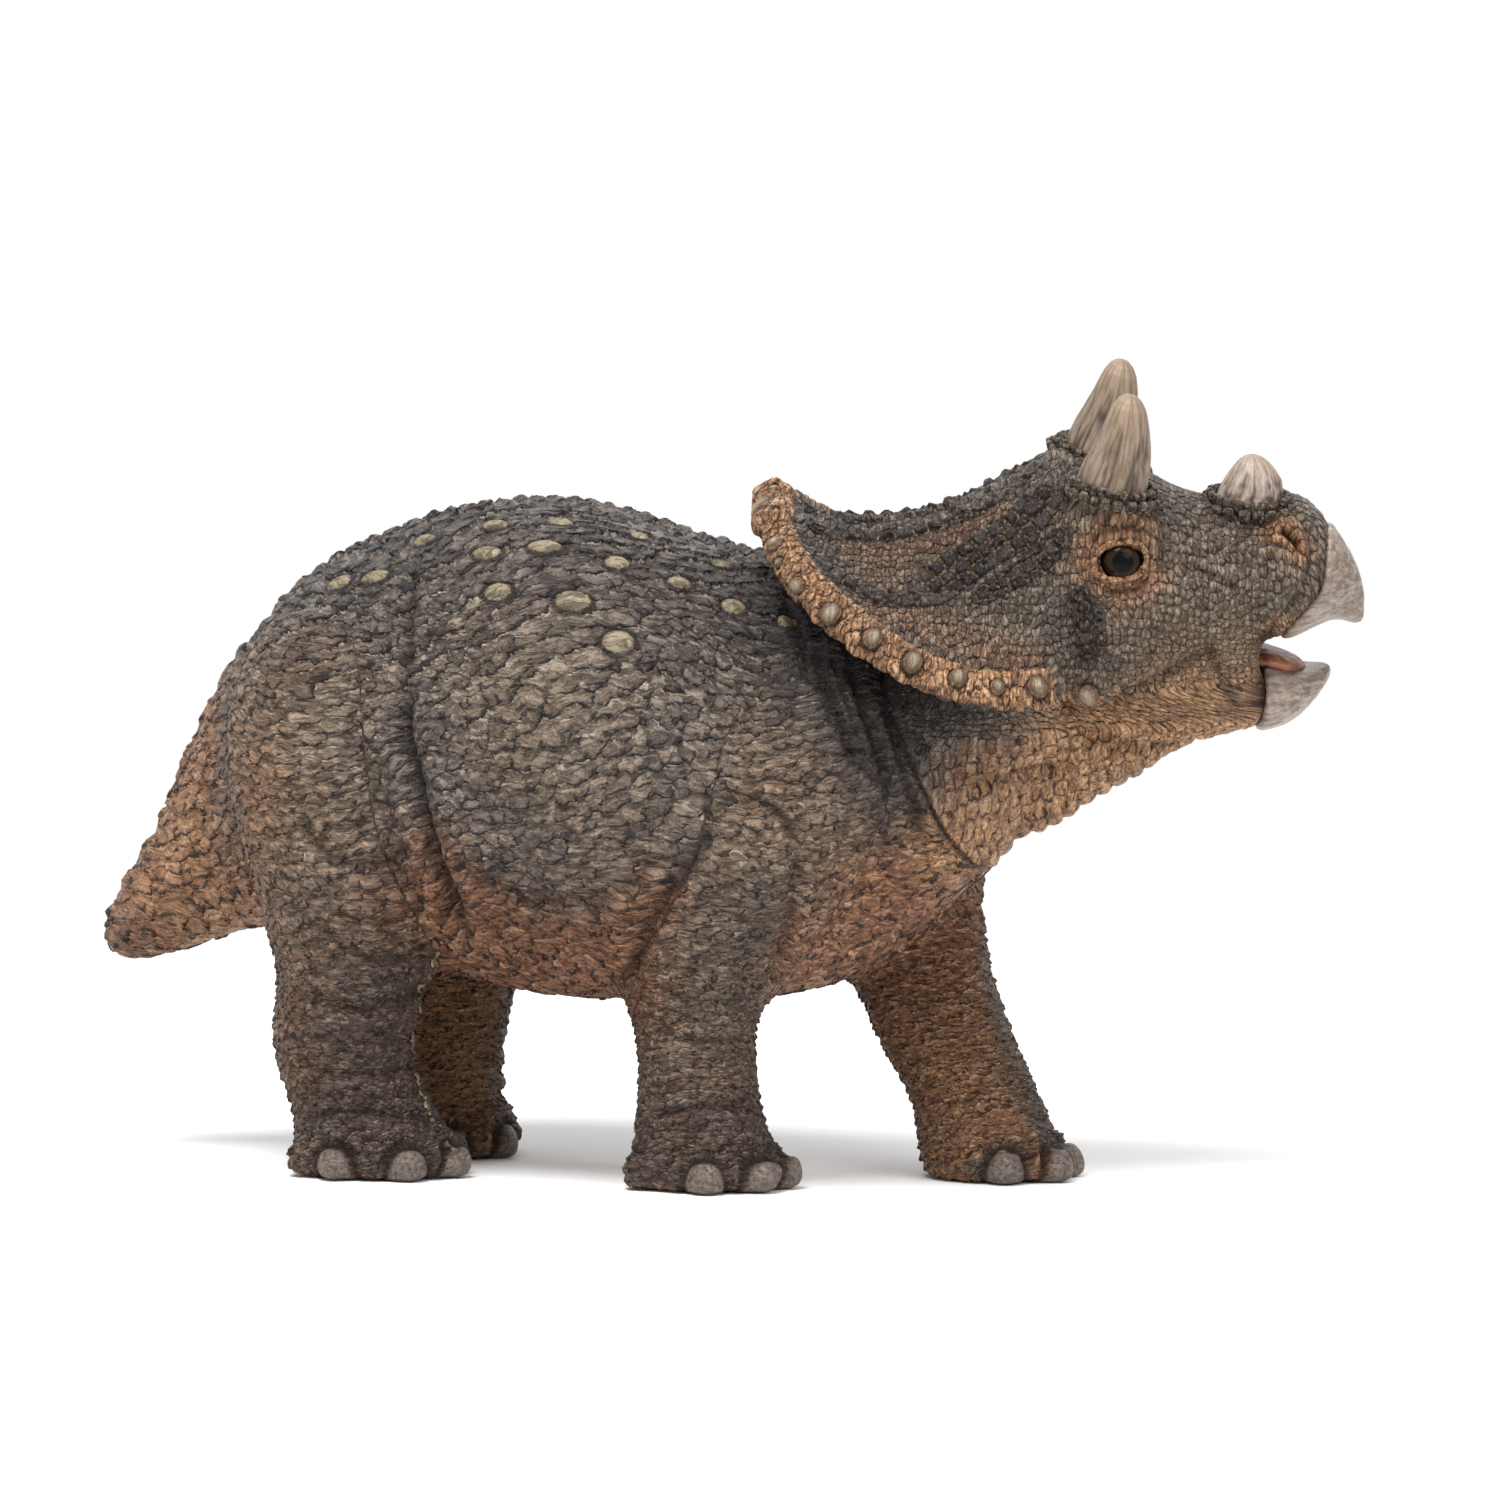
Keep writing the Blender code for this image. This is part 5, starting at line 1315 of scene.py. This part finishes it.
class SkinPaint(Nodes):
    """Scaly paint: dark wash and painted shadow under each scale's lower edge, and light paint and
    painted highlights over its crest.
    """

    def __init__(self, name, scales, stretch):
        super().__init__(name)
        lean, scatter, self.groove = scales
        self.warm, self.dark, self.khaki = self.split(self.attribute("tone"))
        self.stain, self.pale, self.kind = self.split(self.attribute("mark"))
        self.plate, self.grain = self.split(self.attribute("plate"), 2)
        at, rest = self.attribute("scale_at"), self.attribute("rest_at")
        jag = self.node("ShaderNodeTexNoise", {"Vector": at, "Scale": JAG_SCALE, "Detail": 2.0})
        jag = self.vector("SUBTRACT", jag.outputs["Color"], (0.5, 0.5, 0.5))
        at = self.vector("ADD", at, self.vector("SCALE", jag, scale=JAG))
        self.edge, cell, middle = self.cells(at, scatter)
        self.cell_red, self.cell_green = self.split(cell, 2)
        self.tilt = self.vector("DOT_PRODUCT", self.vector("SUBTRACT", at, middle), lean)
        self.fine = self.noise(rest, 2.4, 4.0, 0.65)
        self.broad = self.noise(rest, 0.16, 3.0, 0.55)
        self.patch = self.noise(rest, 0.75, 3.0, 0.6)
        self.speck = self.noise(rest, 5.0, 2.0, 0.6)
        self.stroke = self.noise(self.vector("MULTIPLY", at, stretch), 1.5, 3.0, 0.6)
        self.ridge = self.node("ShaderNodeTexNoise", {
            "Vector": self.vector("MULTIPLY", rest, (0.8, 0.8, 1.5)), "Scale": 0.75,
            "Detail": 3.0, "Roughness": 0.6, "Lacunarity": 2.1, "Offset": 0.75, "Gain": 2.0,
        }, noise_type="RIDGED_MULTIFRACTAL").outputs["Fac"]

        crease, crest = self.crease(), self.crest()
        body, block = self.plates(self.body(crease, crest))
        body, bare = self.pale_places(body)
        rough = self.plus(self.plus(self.times(self.fine, 0.30), self.times(crease, 0.2)), 0.26)
        self.coat(body, rough, 0.38)
        self.bump(self.times(self.relief(block), bare), 0.75)

    def crease(self):
        """Dark wash and painted shadow under each scale's lower edge, broken where the carving is
        shallow, and painted shade in the hollows and pits of the relief.
        """
        low_side = self.ramp(self.tilt, -0.02, 0.22, self.groove * 0.55, 1.0)
        width = self.times(self.ramp(self.stroke, 0.38, 0.62, 0.08, 0.34), low_side)
        line = self.ramp(self.edge, width, self.times(width, 0.5))
        line = self.times(line, self.ramp(self.patch, 0.38, 0.50, 0.2 + self.groove * 0.25, 1.0))
        line = self.times(line, low_side)
        hollow = self.times(self.ramp(self.ridge, 0.45, 0.12), 0.35)
        hollow = self.most(hollow, self.times(self.ramp(self.stroke, 0.40, 0.33), 0.75))
        pits = self.times(self.ramp(self.fine, 0.46, 0.38), self.times(self.grain, 0.85))
        return self.most(self.most(line, hollow), pits)

    def crest(self):
        """Light paint dragged over the crests, with painted highlights where they face up and along
        their upper edges.
        """
        rim = self.times(self.ramp(self.edge, 0.20, 0.08), self.ramp(self.tilt, -0.05, -0.30))
        inner = self.ramp(self.edge, 0.03, 0.22)
        crest = self.times(inner, self.ramp(self.tilt, 0.25, -0.25, 0.10, 0.60))
        crest = self.times(self.most(crest, rim), self.ramp(self.stroke, 0.47, 0.57))
        return self.times(crest, self.ramp(self.cell_red, 0.1, 0.9, 0.3, 1.0))

    def body(self, crease, crest):
        """Cool, olive and warm paint by the place's tone, then crests with painted highlights, washes
        and stains with painted shade.
        """
        cell = self.ramp(self.cell_green, 0.1, 0.9)
        amber = self.paint("amber", self.ramp(self.fine, 0.35, 0.65))
        warmth = self.over(self.paint("warm", cell), amber, self.ramp(self.khaki, 0.3, 1.0))
        body = self.over(self.paint("cool", cell), self.paint("olive", cell), self.khaki, 0.75)
        warm = self.plus(self.warm, self.swing(self.broad, 0.55))
        warm = self.ramp(self.plus(warm, self.swing(self.patch, 0.3)), 0.02, 0.95)
        wash_and_shade = self.paint("wash_and_shade", warm)
        body = self.over(body, warmth, warm)
        body = self.over(body, self.paint("blotch", warm), self.ramp(self.broad, 0.35, 0.65), 0.25)
        # Dry-brushed paint and painted highlights on the crests
        body = self.over(body, self.paint("light", warm), crest, 0.78)
        # Dark wash and painted shadow under the scales' lower edges, and painted shade in the hollows
        # and pits
        body = self.over(body, wash_and_shade, crease, 0.95)
        body = self.over(body, "shade", self.dark, 0.85)
        # Dark wash and painted shade in the folds, the throat's grooves and the nostril, and the neck
        # seam's dark line
        body = self.over(body, self.paint("stain", warm), self.stain, 0.85)
        return self.over(body, wash_and_shade, self.ramp(self.speck, 0.60, 0.70), 0.35)

    def plates(self, body):
        """Dark blocks with pale patches, partly painted highlights, over a body colour, with gaps from
        dark painted shade to tan, and how far a block raises each point.
        """
        edge, cell, _ = self.cells(self.attribute("plate_at"), PLATE_SCATTER)
        inside = self.ramp(self.plate, 0.0, 0.15)
        slate = self.paint("slate", self.ramp(self.split(cell)[1], 0.1, 0.9))
        # Pale patches on the plates: paint, and painted highlights
        slate = self.over(slate, "plate crest", self.ramp(self.fine, 0.54, 0.66), 0.6)
        body = self.over(body, slate, inside, 0.93)
        # Gaps between the plates, from dark painted shade to tan paint
        gap = self.paint("gap", self.ramp(self.fine, 0.44, 0.60))
        share = self.times(self.ramp(self.plate, 0.12, 0.30), self.ramp(edge, 0.13, 0.06))
        return self.over(body, gap, share, 0.85), self.times(inside, self.ramp(edge, 0.04, 0.24))

    def pale_places(self, body):
        """Pale paint on ovals, studs and nails, a dark ring round each of dark paint and painted shade
        in its groove, and how far off they are.
        """
        pale = self.plus(self.pale, self.swing(self.fine, 0.5))
        ring = self.times(self.ramp(pale, 0.86, 1.08), self.ramp(pale, 1.5, 1.15))
        # Dark paint and painted shade in the groove round each raised place
        body = self.over(body, "ring", ring, 0.75)
        pearl = self.paint("pearl", self.ramp(pale, 0.1, 0.8))
        pearl = self.over(pearl, "pearl dirt", self.ramp(self.fine, 0.50, 0.35, 0.0, 0.5))
        nail = self.paint("nail", self.ramp(self.fine, 0.30, 0.70))
        paint = self.paint("cream", self.ramp(self.stroke, 0.35, 0.60))
        paint = self.over(paint, pearl, self.ramp(self.kind, OVAL + 0.4, OVAL + 0.6))
        paint = self.over(paint, nail, self.ramp(self.kind, STUD + 0.4, STUD + 0.6))
        body = self.over(body, paint, self.ramp(pale, 1.0, 0.86))
        return body, self.ramp(pale, 0.9, 1.3, 0.2, 1.0)

    def relief(self, block):
        relief = self.plus(self.times(self.tilt, 1.3), 0.55)
        relief = self.times(relief, self.ramp(self.edge, 0.0, 0.07, 1 - self.groove, 1.0))
        brush = self.ramp(self.stroke, 0.30, 0.55)
        for height, share in ((self.ridge, 0.45), (self.fine, 0.35), (brush, 0.7),
                              (self.speck, 0.25), (block, 0.9)):
            relief = self.plus(relief, self.times(height, share))
        return relief


def horn_material(name, kind):
    n = Nodes(name)
    groove, along, around = n.split(n.attribute("groove"))
    stretched = n.node("ShaderNodeCombineXYZ", {
        0: n.times(n.math("COSINE", around), 3.6), 1: n.times(n.math("SINE", around), 3.6),
        2: n.times(along, 2.4),
    }).outputs[0]
    grain = n.noise(stretched, 1.6, 4.0, 0.6)
    colour = n.paint(kind, n.ramp(grain, 0.28, 0.66))
    colour = n.over(colour, "horn tip", n.ramp(along, 0.55, 1.0, 0.0, 0.35))
    # Dark wash and painted shade in the flutes, by their depth, and a dark joint line at the root
    dirt = n.times(n.ramp(groove, 0.35, 0.95), n.ramp(grain, 0.7, 0.35, 0.35, 1.0))
    dirt = n.most(dirt, n.ramp(along, 0.10, -0.04))
    n.coat(n.over(colour, kind + " dirt", dirt, 0.8), n.ramp(grain, 0.3, 0.7, 0.5, 0.36))
    n.bump(grain, 0.12)
    return n.material


def beak_material():
    n = Nodes("beak_paint")
    rest = n.attribute("rest_at")
    streak = n.noise(n.vector("MULTIPLY", rest, (0.35, 1.0, 1.6)), 1.1, 4.0, 0.6)
    speck = n.noise(rest, 3.0, 3.0, 0.6)
    colour = n.paint("beak", n.ramp(streak, 0.35, 0.65))
    colour = n.over(colour, "beak dirt", n.ramp(speck, 0.62, 0.48, 0.0, 0.35))
    n.coat(colour, n.ramp(speck, 0.3, 0.7, 0.32, 0.46))
    n.bump(streak, 0.18)
    return n.material


def mouth_material():
    n = Nodes("mouth_paint")
    blotch = n.noise(n.attribute("rest_at"), 0.9, 3.0, 0.6)
    n.coat(n.paint("mouth", n.ramp(blotch, 0.35, 0.65)), 0.35)
    return n.material


def eye_material():
    """Glossy paint, with the pupil and the iris by the angle from the gaze."""
    n = Nodes("eye_paint")
    off, = n.split(n.attribute("gaze"), 1)
    grain = n.noise(n.node("ShaderNodeTexCoord").outputs["Object"], 900.0, 3.0, 0.6)
    colour = n.mix(n.ramp(off, 0.42, 0.52), linear(COLOURS["pupil"]), n.paint("iris", grain))
    n.coat(n.over(colour, "iris edge", n.ramp(off, 0.72, 0.90)), 0.07, 0.10)
    return n.material


BODY_PAINT = SkinPaint("body_paint", BODY_SCALES, (1.1, 1.1, 2.8)).material
HEAD_PAINT = SkinPaint("head_paint", HEAD_SCALES, (2.2, 1.0, 1.0)).material
BROW_PAINT = horn_material("horn_paint", "brow horn")
NOSE_PAINT = horn_material("nose_horn_paint", "nose horn")
BEAK_PAINT, MOUTH_PAINT, EYE_PAINT = beak_material(), mouth_material(), eye_material()


# Small pieces of the head, in its frame and in millimetres

def turns(count):
    return np.arange(count) / count * 2 * math.pi


def head_paint_on(mesh, tone, size=1.0):
    """The head's scaly paint on a small moulded shape, in one tone."""
    points = points_of(mesh).astype(float)
    vector_attribute(mesh, "scale_at", in_head(points) / size)
    vector_attribute(mesh, "rest_at", points / MM)
    for name, value in (("tone", tone), ("mark", (0, 3, 0)), ("plate", (-1, 0, 0))):
        vector_attribute(mesh, name, np.tile(value, (len(points), 1)))
    mesh.materials.append(HEAD_PAINT)


def loft(name, rings):
    """A closed mesh through rings of points, the first and last ring closed to their middles."""
    points = np.vstack([rings.reshape(-1, 3), rings[0].mean(0), rings[-1].mean(0)])
    return new_mesh(name, from_head(points), ring_faces(*rings.shape[:2]))


# Shares of a horn's length and of its radius
BROW_OUTLINE = ((-0.3, 0.98), (0, 1), (0.25, 0.90), (0.5, 0.74), (0.72, 0.58), (0.86, 0.45),
                (0.94, 0.32), (0.985, 0.17), (1, 0.03))
NOSE_OUTLINE = ((-0.3, 0.96), (0, 1), (0.25, 0.92), (0.48, 0.79), (0.70, 0.60), (0.86, 0.42),
                (0.95, 0.26), (0.99, 0.12), (1, 0.03))

# Node, base in the head frame, lean forward in degrees, length, radius, outline, collar scales
HORNS = (
    ("brow_horn_right", (11.16, -6.5, 16.55), 10.5, 10.1, 3.95, BROW_OUTLINE, 24),
    ("brow_horn_left", (9.96, 6.5, 16.75), 15.0, 10.3, 3.9, BROW_OUTLINE, 24),
    ("nose_horn", (25.5, 0.0, 13.5), 4.0, 4.8, 3.75, NOSE_OUTLINE, 20),
)

# Rows and columns of a horn's points, how much closer the rows get to the tip, the share of its
# length that is hidden in the head, its flutes' depth and its bend in mm, and how oval it is
HORN_ROWS, HORN_COLUMNS, HORN_CROWDING = 80, 144, 1.4
HORN_ROOT = 0.3
FLUTE_DEPTH, HORN_BEND, HORN_WAVE = 0.40, 0.35, 0.03


def horn_axes(lean):
    lean = math.radians(lean)
    out = np.array((math.sin(lean), 0, math.cos(lean)))
    side = np.array((0.0, -1.0, 0.0))
    return out, side, np.cross(out, side)


def horn(node, base, lean, length, radius, outline):
    """A bent horn with flutes that run out towards its tip."""
    out, side, ahead = horn_axes(lean)
    t = 1 - (1 - np.linspace(0, 1, HORN_ROWS)) ** HORN_CROWDING * (1 + HORN_ROOT)
    turn_at, t_at = np.meshgrid(turns(HORN_COLUMNS), t)
    seed = 7.3 * len(node)
    flute_at = np.stack([np.cos(turn_at) * 2.3 + t_at * 0.4, np.sin(turn_at) * 2.3,
                         t_at * 0.8 + seed], 2)
    flute = noise(flute_at.reshape(-1, 3), 1.0, 1.5).reshape(turn_at.shape)
    flute = np.clip(1 - np.abs(flute) * 3.0, 0, 1) * smooth(1 - t, 0.12, 0.6)[:, None]
    size = np.interp(t, *np.transpose(outline))[:, None] * radius - FLUTE_DEPTH * flute
    size = (size * (1 + HORN_WAVE * np.sin(turn_at * 2 + seed)))[..., None]
    ring = (side * np.cos(turn_at)[..., None] + ahead * np.sin(turn_at)[..., None]) * size
    bend = HORN_BEND * np.sin(np.clip(t, 0, 1) * math.pi)[:, None, None]
    rings = np.array(base) + out * (t[:, None, None] * length) + ring + ahead * bend
    mesh = loft(node + "_fluted", rings)
    fields = [field.ravel() for field in (flute, t_at, turn_at)]
    ends = np.array(((0, 0), (-HORN_ROOT, 1), (0, 0)))
    vector_attribute(mesh, "groove", np.hstack([fields, ends]).T)
    mesh.materials.append(BROW_PAINT if "brow" in node else NOSE_PAINT)
    piece(mesh.name, mesh, node)


def joined(name, parts):
    """One mesh of several closed ones, each given as points and a list of face arrays."""
    points, faces, count = [], [], 0
    for at, groups in parts:
        points.append(at)
        faces += [group + count for group in groups]
        count += len(at)
    return new_mesh(name, np.vstack(points), faces)


BLOCK_ROWS, BLOCK_COLUMNS, BLOCK_FULLNESS = 5, 12, 0.55


def rounded_block(centre, axes, sizes):
    """A soft-cornered block as points and faces."""
    def bulge(v):
        return np.sign(v) * np.abs(v) ** BLOCK_FULLNESS

    rise = np.linspace(-math.pi / 2, math.pi / 2, BLOCK_ROWS + 2)[1:-1]
    turn = turns(BLOCK_COLUMNS)
    x = bulge(np.cos(rise))[:, None] * bulge(np.cos(turn))
    y = bulge(np.cos(rise))[:, None] * bulge(np.sin(turn))
    z = np.repeat(bulge(np.sin(rise))[:, None], BLOCK_COLUMNS, 1)
    unit = np.vstack([np.stack([x, y, z], 2).reshape(-1, 3), (0, 0, -1), (0, 0, 1)])
    return from_head(centre + unit * sizes @ axes), ring_faces(BLOCK_ROWS, BLOCK_COLUMNS)


# Rows of a collar: share of the horn's radius, rise over its base, size, and how far they splay
COLLAR_ROWS = ((1.04, 0.15, 1.0, 1.0), (1.24, -0.55, 0.9, 1.6))

# A collar scale's splay and rise, its share of the room round the horn, its half thickness and
# half height in mm, and its paint
COLLAR_SPLAY, COLLAR_RISE = 0.34, 0.94
COLLAR_FILL, COLLAR_THICKNESS, COLLAR_HEIGHT = 0.92, 0.42, 0.78
COLLAR_TONE, COLLAR_SCALE_SIZE = (0.15, 0.25, 0.8), 1.1


def collar(node, base, lean, radius, count):
    """The ring of small upright scales that a horn stands in."""
    out, side, ahead = horn_axes(lean)
    blocks = []
    for row, (ring, rise, shrink, splay) in enumerate(COLLAR_ROWS):
        width = math.pi * radius * ring / count * COLLAR_FILL
        for k in range(count):
            turn = (k + 0.5 * row + RANDOM.uniform(-0.12, 0.12)) / count * 2 * math.pi
            away = side * math.cos(turn) + ahead * math.sin(turn)
            tangent = np.cross(out, away)
            stand = out * COLLAR_RISE + away * COLLAR_SPLAY * splay
            stand /= np.linalg.norm(stand)
            sizes = np.array((width, COLLAR_THICKNESS, COLLAR_HEIGHT)) * shrink
            sizes = sizes * RANDOM.uniform(0.85, 1.12, 3)
            centre = np.array(base) + away * radius * ring + out * rise
            blocks.append(rounded_block(centre, [tangent, np.cross(stand, tangent), stand], sizes))
    mesh = joined(node.replace("horn", "collar"), blocks)
    head_paint_on(mesh, COLLAR_TONE, COLLAR_SCALE_SIZE)
    piece(mesh.name, mesh, "head")


# Middle and radius of the left eye, the way it looks, its points, and the angle of its poles' gaps
EYE_AT, EYE_RADIUS = (11.98, 9.44, 9.73), 2.45
EYE_LOOK = (0.10, 1.0, 0.16)
EYE_ROWS, EYE_COLUMNS = 40, 64
EYE_POLE = 0.02

# Eyelids: half width, height above and below the middle, how far out, thickness, tone
LIDS = (
    (2.74, 2.06, -1.88, 1.50, 0.36, (1.0, 0.0, 1.0)),
    (3.15, 2.65, -2.40, 0.97, 0.45, (0.9, 0.20, 0.8)),
    (3.75, 3.40, -3.10, 0.38, 0.50, (0.5, 0.25, 0.7)),
)
LID_STEPS, LID_SIDES, LID_SCALE_SIZE = 96, 14, 0.9


def eye_axes(side):
    """Middle of an eye and the ways it looks, ahead across it and up across it."""
    look = np.array(EYE_LOOK) * (1, side, 1)
    look /= np.linalg.norm(look)
    ahead = np.array((1.0, 0, 0.0)) - look * look[0]
    ahead /= np.linalg.norm(ahead)
    return np.array(EYE_AT) * (1, side, 1), look, ahead, np.cross(look, ahead) * (-side)


def eye(side):
    node = "eye_left" if side > 0 else "eye_right"
    centre, look, ahead, up = eye_axes(side)
    slope = np.linspace(EYE_POLE, math.pi - EYE_POLE, EYE_ROWS)
    slope_at, turn_at = np.meshgrid(slope, turns(EYE_COLUMNS) * -side, indexing="ij")
    rings = centre + EYE_RADIUS * (
        look * -np.cos(slope_at)[..., None]
        + ahead * (np.sin(slope_at) * np.cos(turn_at))[..., None]
        + up * (np.sin(slope_at) * np.sin(turn_at))[..., None])
    mesh = loft(node + "_ball", rings)
    off = np.concatenate([(math.pi - slope_at).ravel(), [math.pi, 0]])
    vector_attribute(mesh, "gaze", np.stack([off, off * 0, off * 0], 1))
    mesh.materials.append(EYE_PAINT)
    piece(mesh.name, mesh, node)


def tube(path, radii, sides):
    """Rings round a closed path, as points and faces."""
    run = np.roll(path, -1, 0) - np.roll(path, 1, 0)
    run /= np.linalg.norm(run, axis=1)[:, None]
    away = path - path.mean(0)
    away -= run * (away * run).sum(1)[:, None]
    away /= np.linalg.norm(away, axis=1)[:, None]
    third = np.cross(run, away)
    turn = turns(sides)[None, :, None]
    rings = path[:, None] + radii[:, None, None] * (
        away[:, None] * np.cos(turn) + third[:, None] * np.sin(turn))
    index = np.arange(len(path) * sides).reshape(len(path), sides)
    after, right = np.roll(index, -1, 0), np.roll(index, -1, 1)
    quads = np.stack([index, right, np.roll(after, -1, 1), after], 2).reshape(-1, 4)
    return rings.reshape(-1, 3), quads


def lids(side):
    """Three wrinkled rings round an eye, each wider and further back."""
    centre, look, ahead, up = eye_axes(side)
    turn = turns(LID_STEPS)
    cos, sin = np.cos(turn), np.sin(turn)
    for k, (half_width, above, below, out, thickness, tone) in enumerate(LIDS):
        x = half_width * np.sign(cos) * np.abs(cos) ** 0.9 - 0.15
        y = np.where(sin > 0, above, -below) * sin + 0.25 * x / half_width
        z = out + 0.25 - 0.42 * (x / half_width) ** 2 + 0.12 * sin
        path = centre + ahead * x[:, None] + up * y[:, None] + look * z[:, None]
        radii = thickness * (0.75 + 0.35 * np.abs(sin))
        radii *= 1 + 0.12 * np.sin(turn * 17 + 2 * np.sin(turn * 5))
        points, quads = tube(path, radii, LID_SIDES)
        name = f"lid_{k}_{'left' if side > 0 else 'right'}"
        mesh = new_mesh(name, from_head(points), [quads])
        head_paint_on(mesh, tone, LID_SCALE_SIZE)
        piece(mesh.name, mesh, "head")


def smooth_solid(node, name, grow):
    """A CAD node a little larger, with its corners rounded, and its points."""
    mesh = frame["nodes"][node].data
    low, shape = grid_limits(points_of(mesh), FINE_VOXEL, FINE_MARGIN)
    field = distance_field(mesh, low, shape, FINE_VOXEL, FINE_BAND) - grow * MM
    at, quads = outer_body(*surface(blur(field, 4), low, FINE_VOXEL))
    made = new_mesh(name, at, [quads])
    at = relaxed(at.astype(float), edges_of(made), 4)
    move_points(made, at)
    return made, at


def dressed(mesh, at, height, local, paint, node):
    """A smooth solid moved to its points, with relief in mm and paint, as a piece."""
    move_points(mesh, at + normals_of(mesh) * (height * MM)[:, None])
    vector_attribute(mesh, "rest_at", local)
    mesh.materials.append(paint)
    piece(mesh.name, mesh, node)


# In mm: how much a beak is grown and the height of its streaks; the height of the tongue's lumps
# and the length of its flat root; then how much shorter and lower the rest of it gets
BEAK_GROW, BEAK_STREAKS = 0.35, 0.07
TONGUE_LUMPS, TONGUE_FLAT, TONGUE_SHORTER, TONGUE_DROP = 0.12, 3.5, 0.15, 0.25


def beak(node):
    mesh, at = smooth_solid(node, node + "_smooth", BEAK_GROW)
    local = in_head(at)
    streak = noise(local * (0.28, 0.9, 1.0) + 5, 0.55) * BEAK_STREAKS
    dressed(mesh, at, streak, local, BEAK_PAINT, node)


def tongue():
    """The tongue of the CAD, drawn in and bent down towards its tip."""
    mesh, at = smooth_solid("tongue", "tongue_flesh", 0.0)
    local = in_head(at)
    ahead = np.maximum(local[:, 0] - local[:, 0].min() - TONGUE_FLAT, 0)
    local[:, 0] -= ahead * TONGUE_SHORTER
    local[:, 2] -= ahead * TONGUE_DROP
    lumps = noise(local, 0.8) * TONGUE_LUMPS
    dressed(mesh, from_head(local), lumps, local, MOUTH_PAINT, "tongue")


# Studio: name, azimuth and elevation in degrees, size in metres and power of each lamp
LAMPS = (("key", -6, 64, 0.38, 6.0), ("fill", 60, 30, 0.5, 1.6), ("rim", 190, 50, 0.5, 1.2))
LAMP_DISTANCE, LAMP_TARGET = 0.7, Vector((0, 0, 0.04))
SENSOR = 36
FLOOR_RADIUS, FLOOR_DROP, FLOOR_FADE = 0.6, 0.0001, (0.13, 0.34)
WORLD_LIGHT, WORLD_WHITE = 0.58, 1.0


def aimed(obj, place, way):
    obj.location = place
    obj.rotation_mode = "QUATERNION"
    obj.rotation_quaternion = way.to_track_quat("-Z", "Y")


def camera():
    data = bpy.data.cameras.new("camera")
    data.lens = SENSOR * DISTANCE / (PHOTO_SIDE * PIXEL)
    data.sensor_width = SENSOR
    data.clip_end = 10
    obj = new_object("camera", data)
    aimed(obj, Vector(EYE_POINT), Vector(-BACK))
    bpy.context.scene.camera = obj


def lamp(name, azimuth, elevation, size, power):
    data = bpy.data.lights.new(name, "AREA")
    data.shape = "DISK"
    data.size = size
    data.energy = power
    a, e = math.radians(azimuth), math.radians(elevation)
    way = Vector((math.sin(a) * math.cos(e), -math.cos(a) * math.cos(e), math.sin(e)))
    aimed(new_object(name, data), LAMP_TARGET + way * LAMP_DISTANCE, -way)


def floor():
    """White ground that fades out before its edge."""
    bpy.ops.mesh.primitive_circle_add(vertices=64, radius=FLOOR_RADIUS, fill_type="NGON",
                                      location=(0, 0, -FLOOR_DROP))
    ground = bpy.context.object
    ground.name = "floor"
    n = Nodes("white_floor")
    n.coat(linear(COLOURS["floor"]), 0.9, 0.1)
    away = n.vector("LENGTH", n.node("ShaderNodeTexCoord").outputs["Object"])
    clear = n.node("ShaderNodeBsdfTransparent").outputs[0]
    share = n.node("ShaderNodeMixShader", {
        0: n.ramp(away, *FLOOR_FADE), 1: n.shader.outputs[0], 2: clear,
    })
    n.put(n.tree.nodes["Material Output"].inputs[0], share.outputs[0])
    ground.data.materials.append(n.material)


def white_world():
    """White where it is seen or mirrored, and dimmer where it lights the figure."""
    world = bpy.data.worlds.new("studio")
    bpy.context.scene.world = world
    world.use_nodes = True
    tree = world.node_tree
    background = tree.nodes["Background"]
    path = tree.nodes.new("ShaderNodeLightPath")
    total = path.outputs["Is Camera Ray"]
    for ray in ("Is Glossy Ray", "Is Transmission Ray"):
        add = tree.nodes.new("ShaderNodeMath")
        add.operation = "MAXIMUM"
        tree.links.new(total, add.inputs[0])
        tree.links.new(path.outputs[ray], add.inputs[1])
        total = add.outputs[0]
    strength = tree.nodes.new("ShaderNodeMapRange")
    strength.inputs["To Min"].default_value = WORLD_LIGHT
    strength.inputs["To Max"].default_value = WORLD_WHITE
    tree.links.new(total, strength.inputs["Value"])
    background.inputs["Color"].default_value = (1, 1, 1, 1)
    tree.links.new(strength.outputs[0], background.inputs["Strength"])


build_skin()
for node, base, lean, length, radius, outline, scales in HORNS:
    horn(node, base, lean, length, radius, outline)
    collar(node, base, lean, radius, scales)
for side in (-1, 1):
    eye(side)
    lids(side)
beak("upper_beak")
beak("lower_beak")
tongue()
camera()
for settings in LAMPS:
    lamp(*settings)
floor()
white_world()
bpy.context.scene.view_settings.view_transform = "Standard"
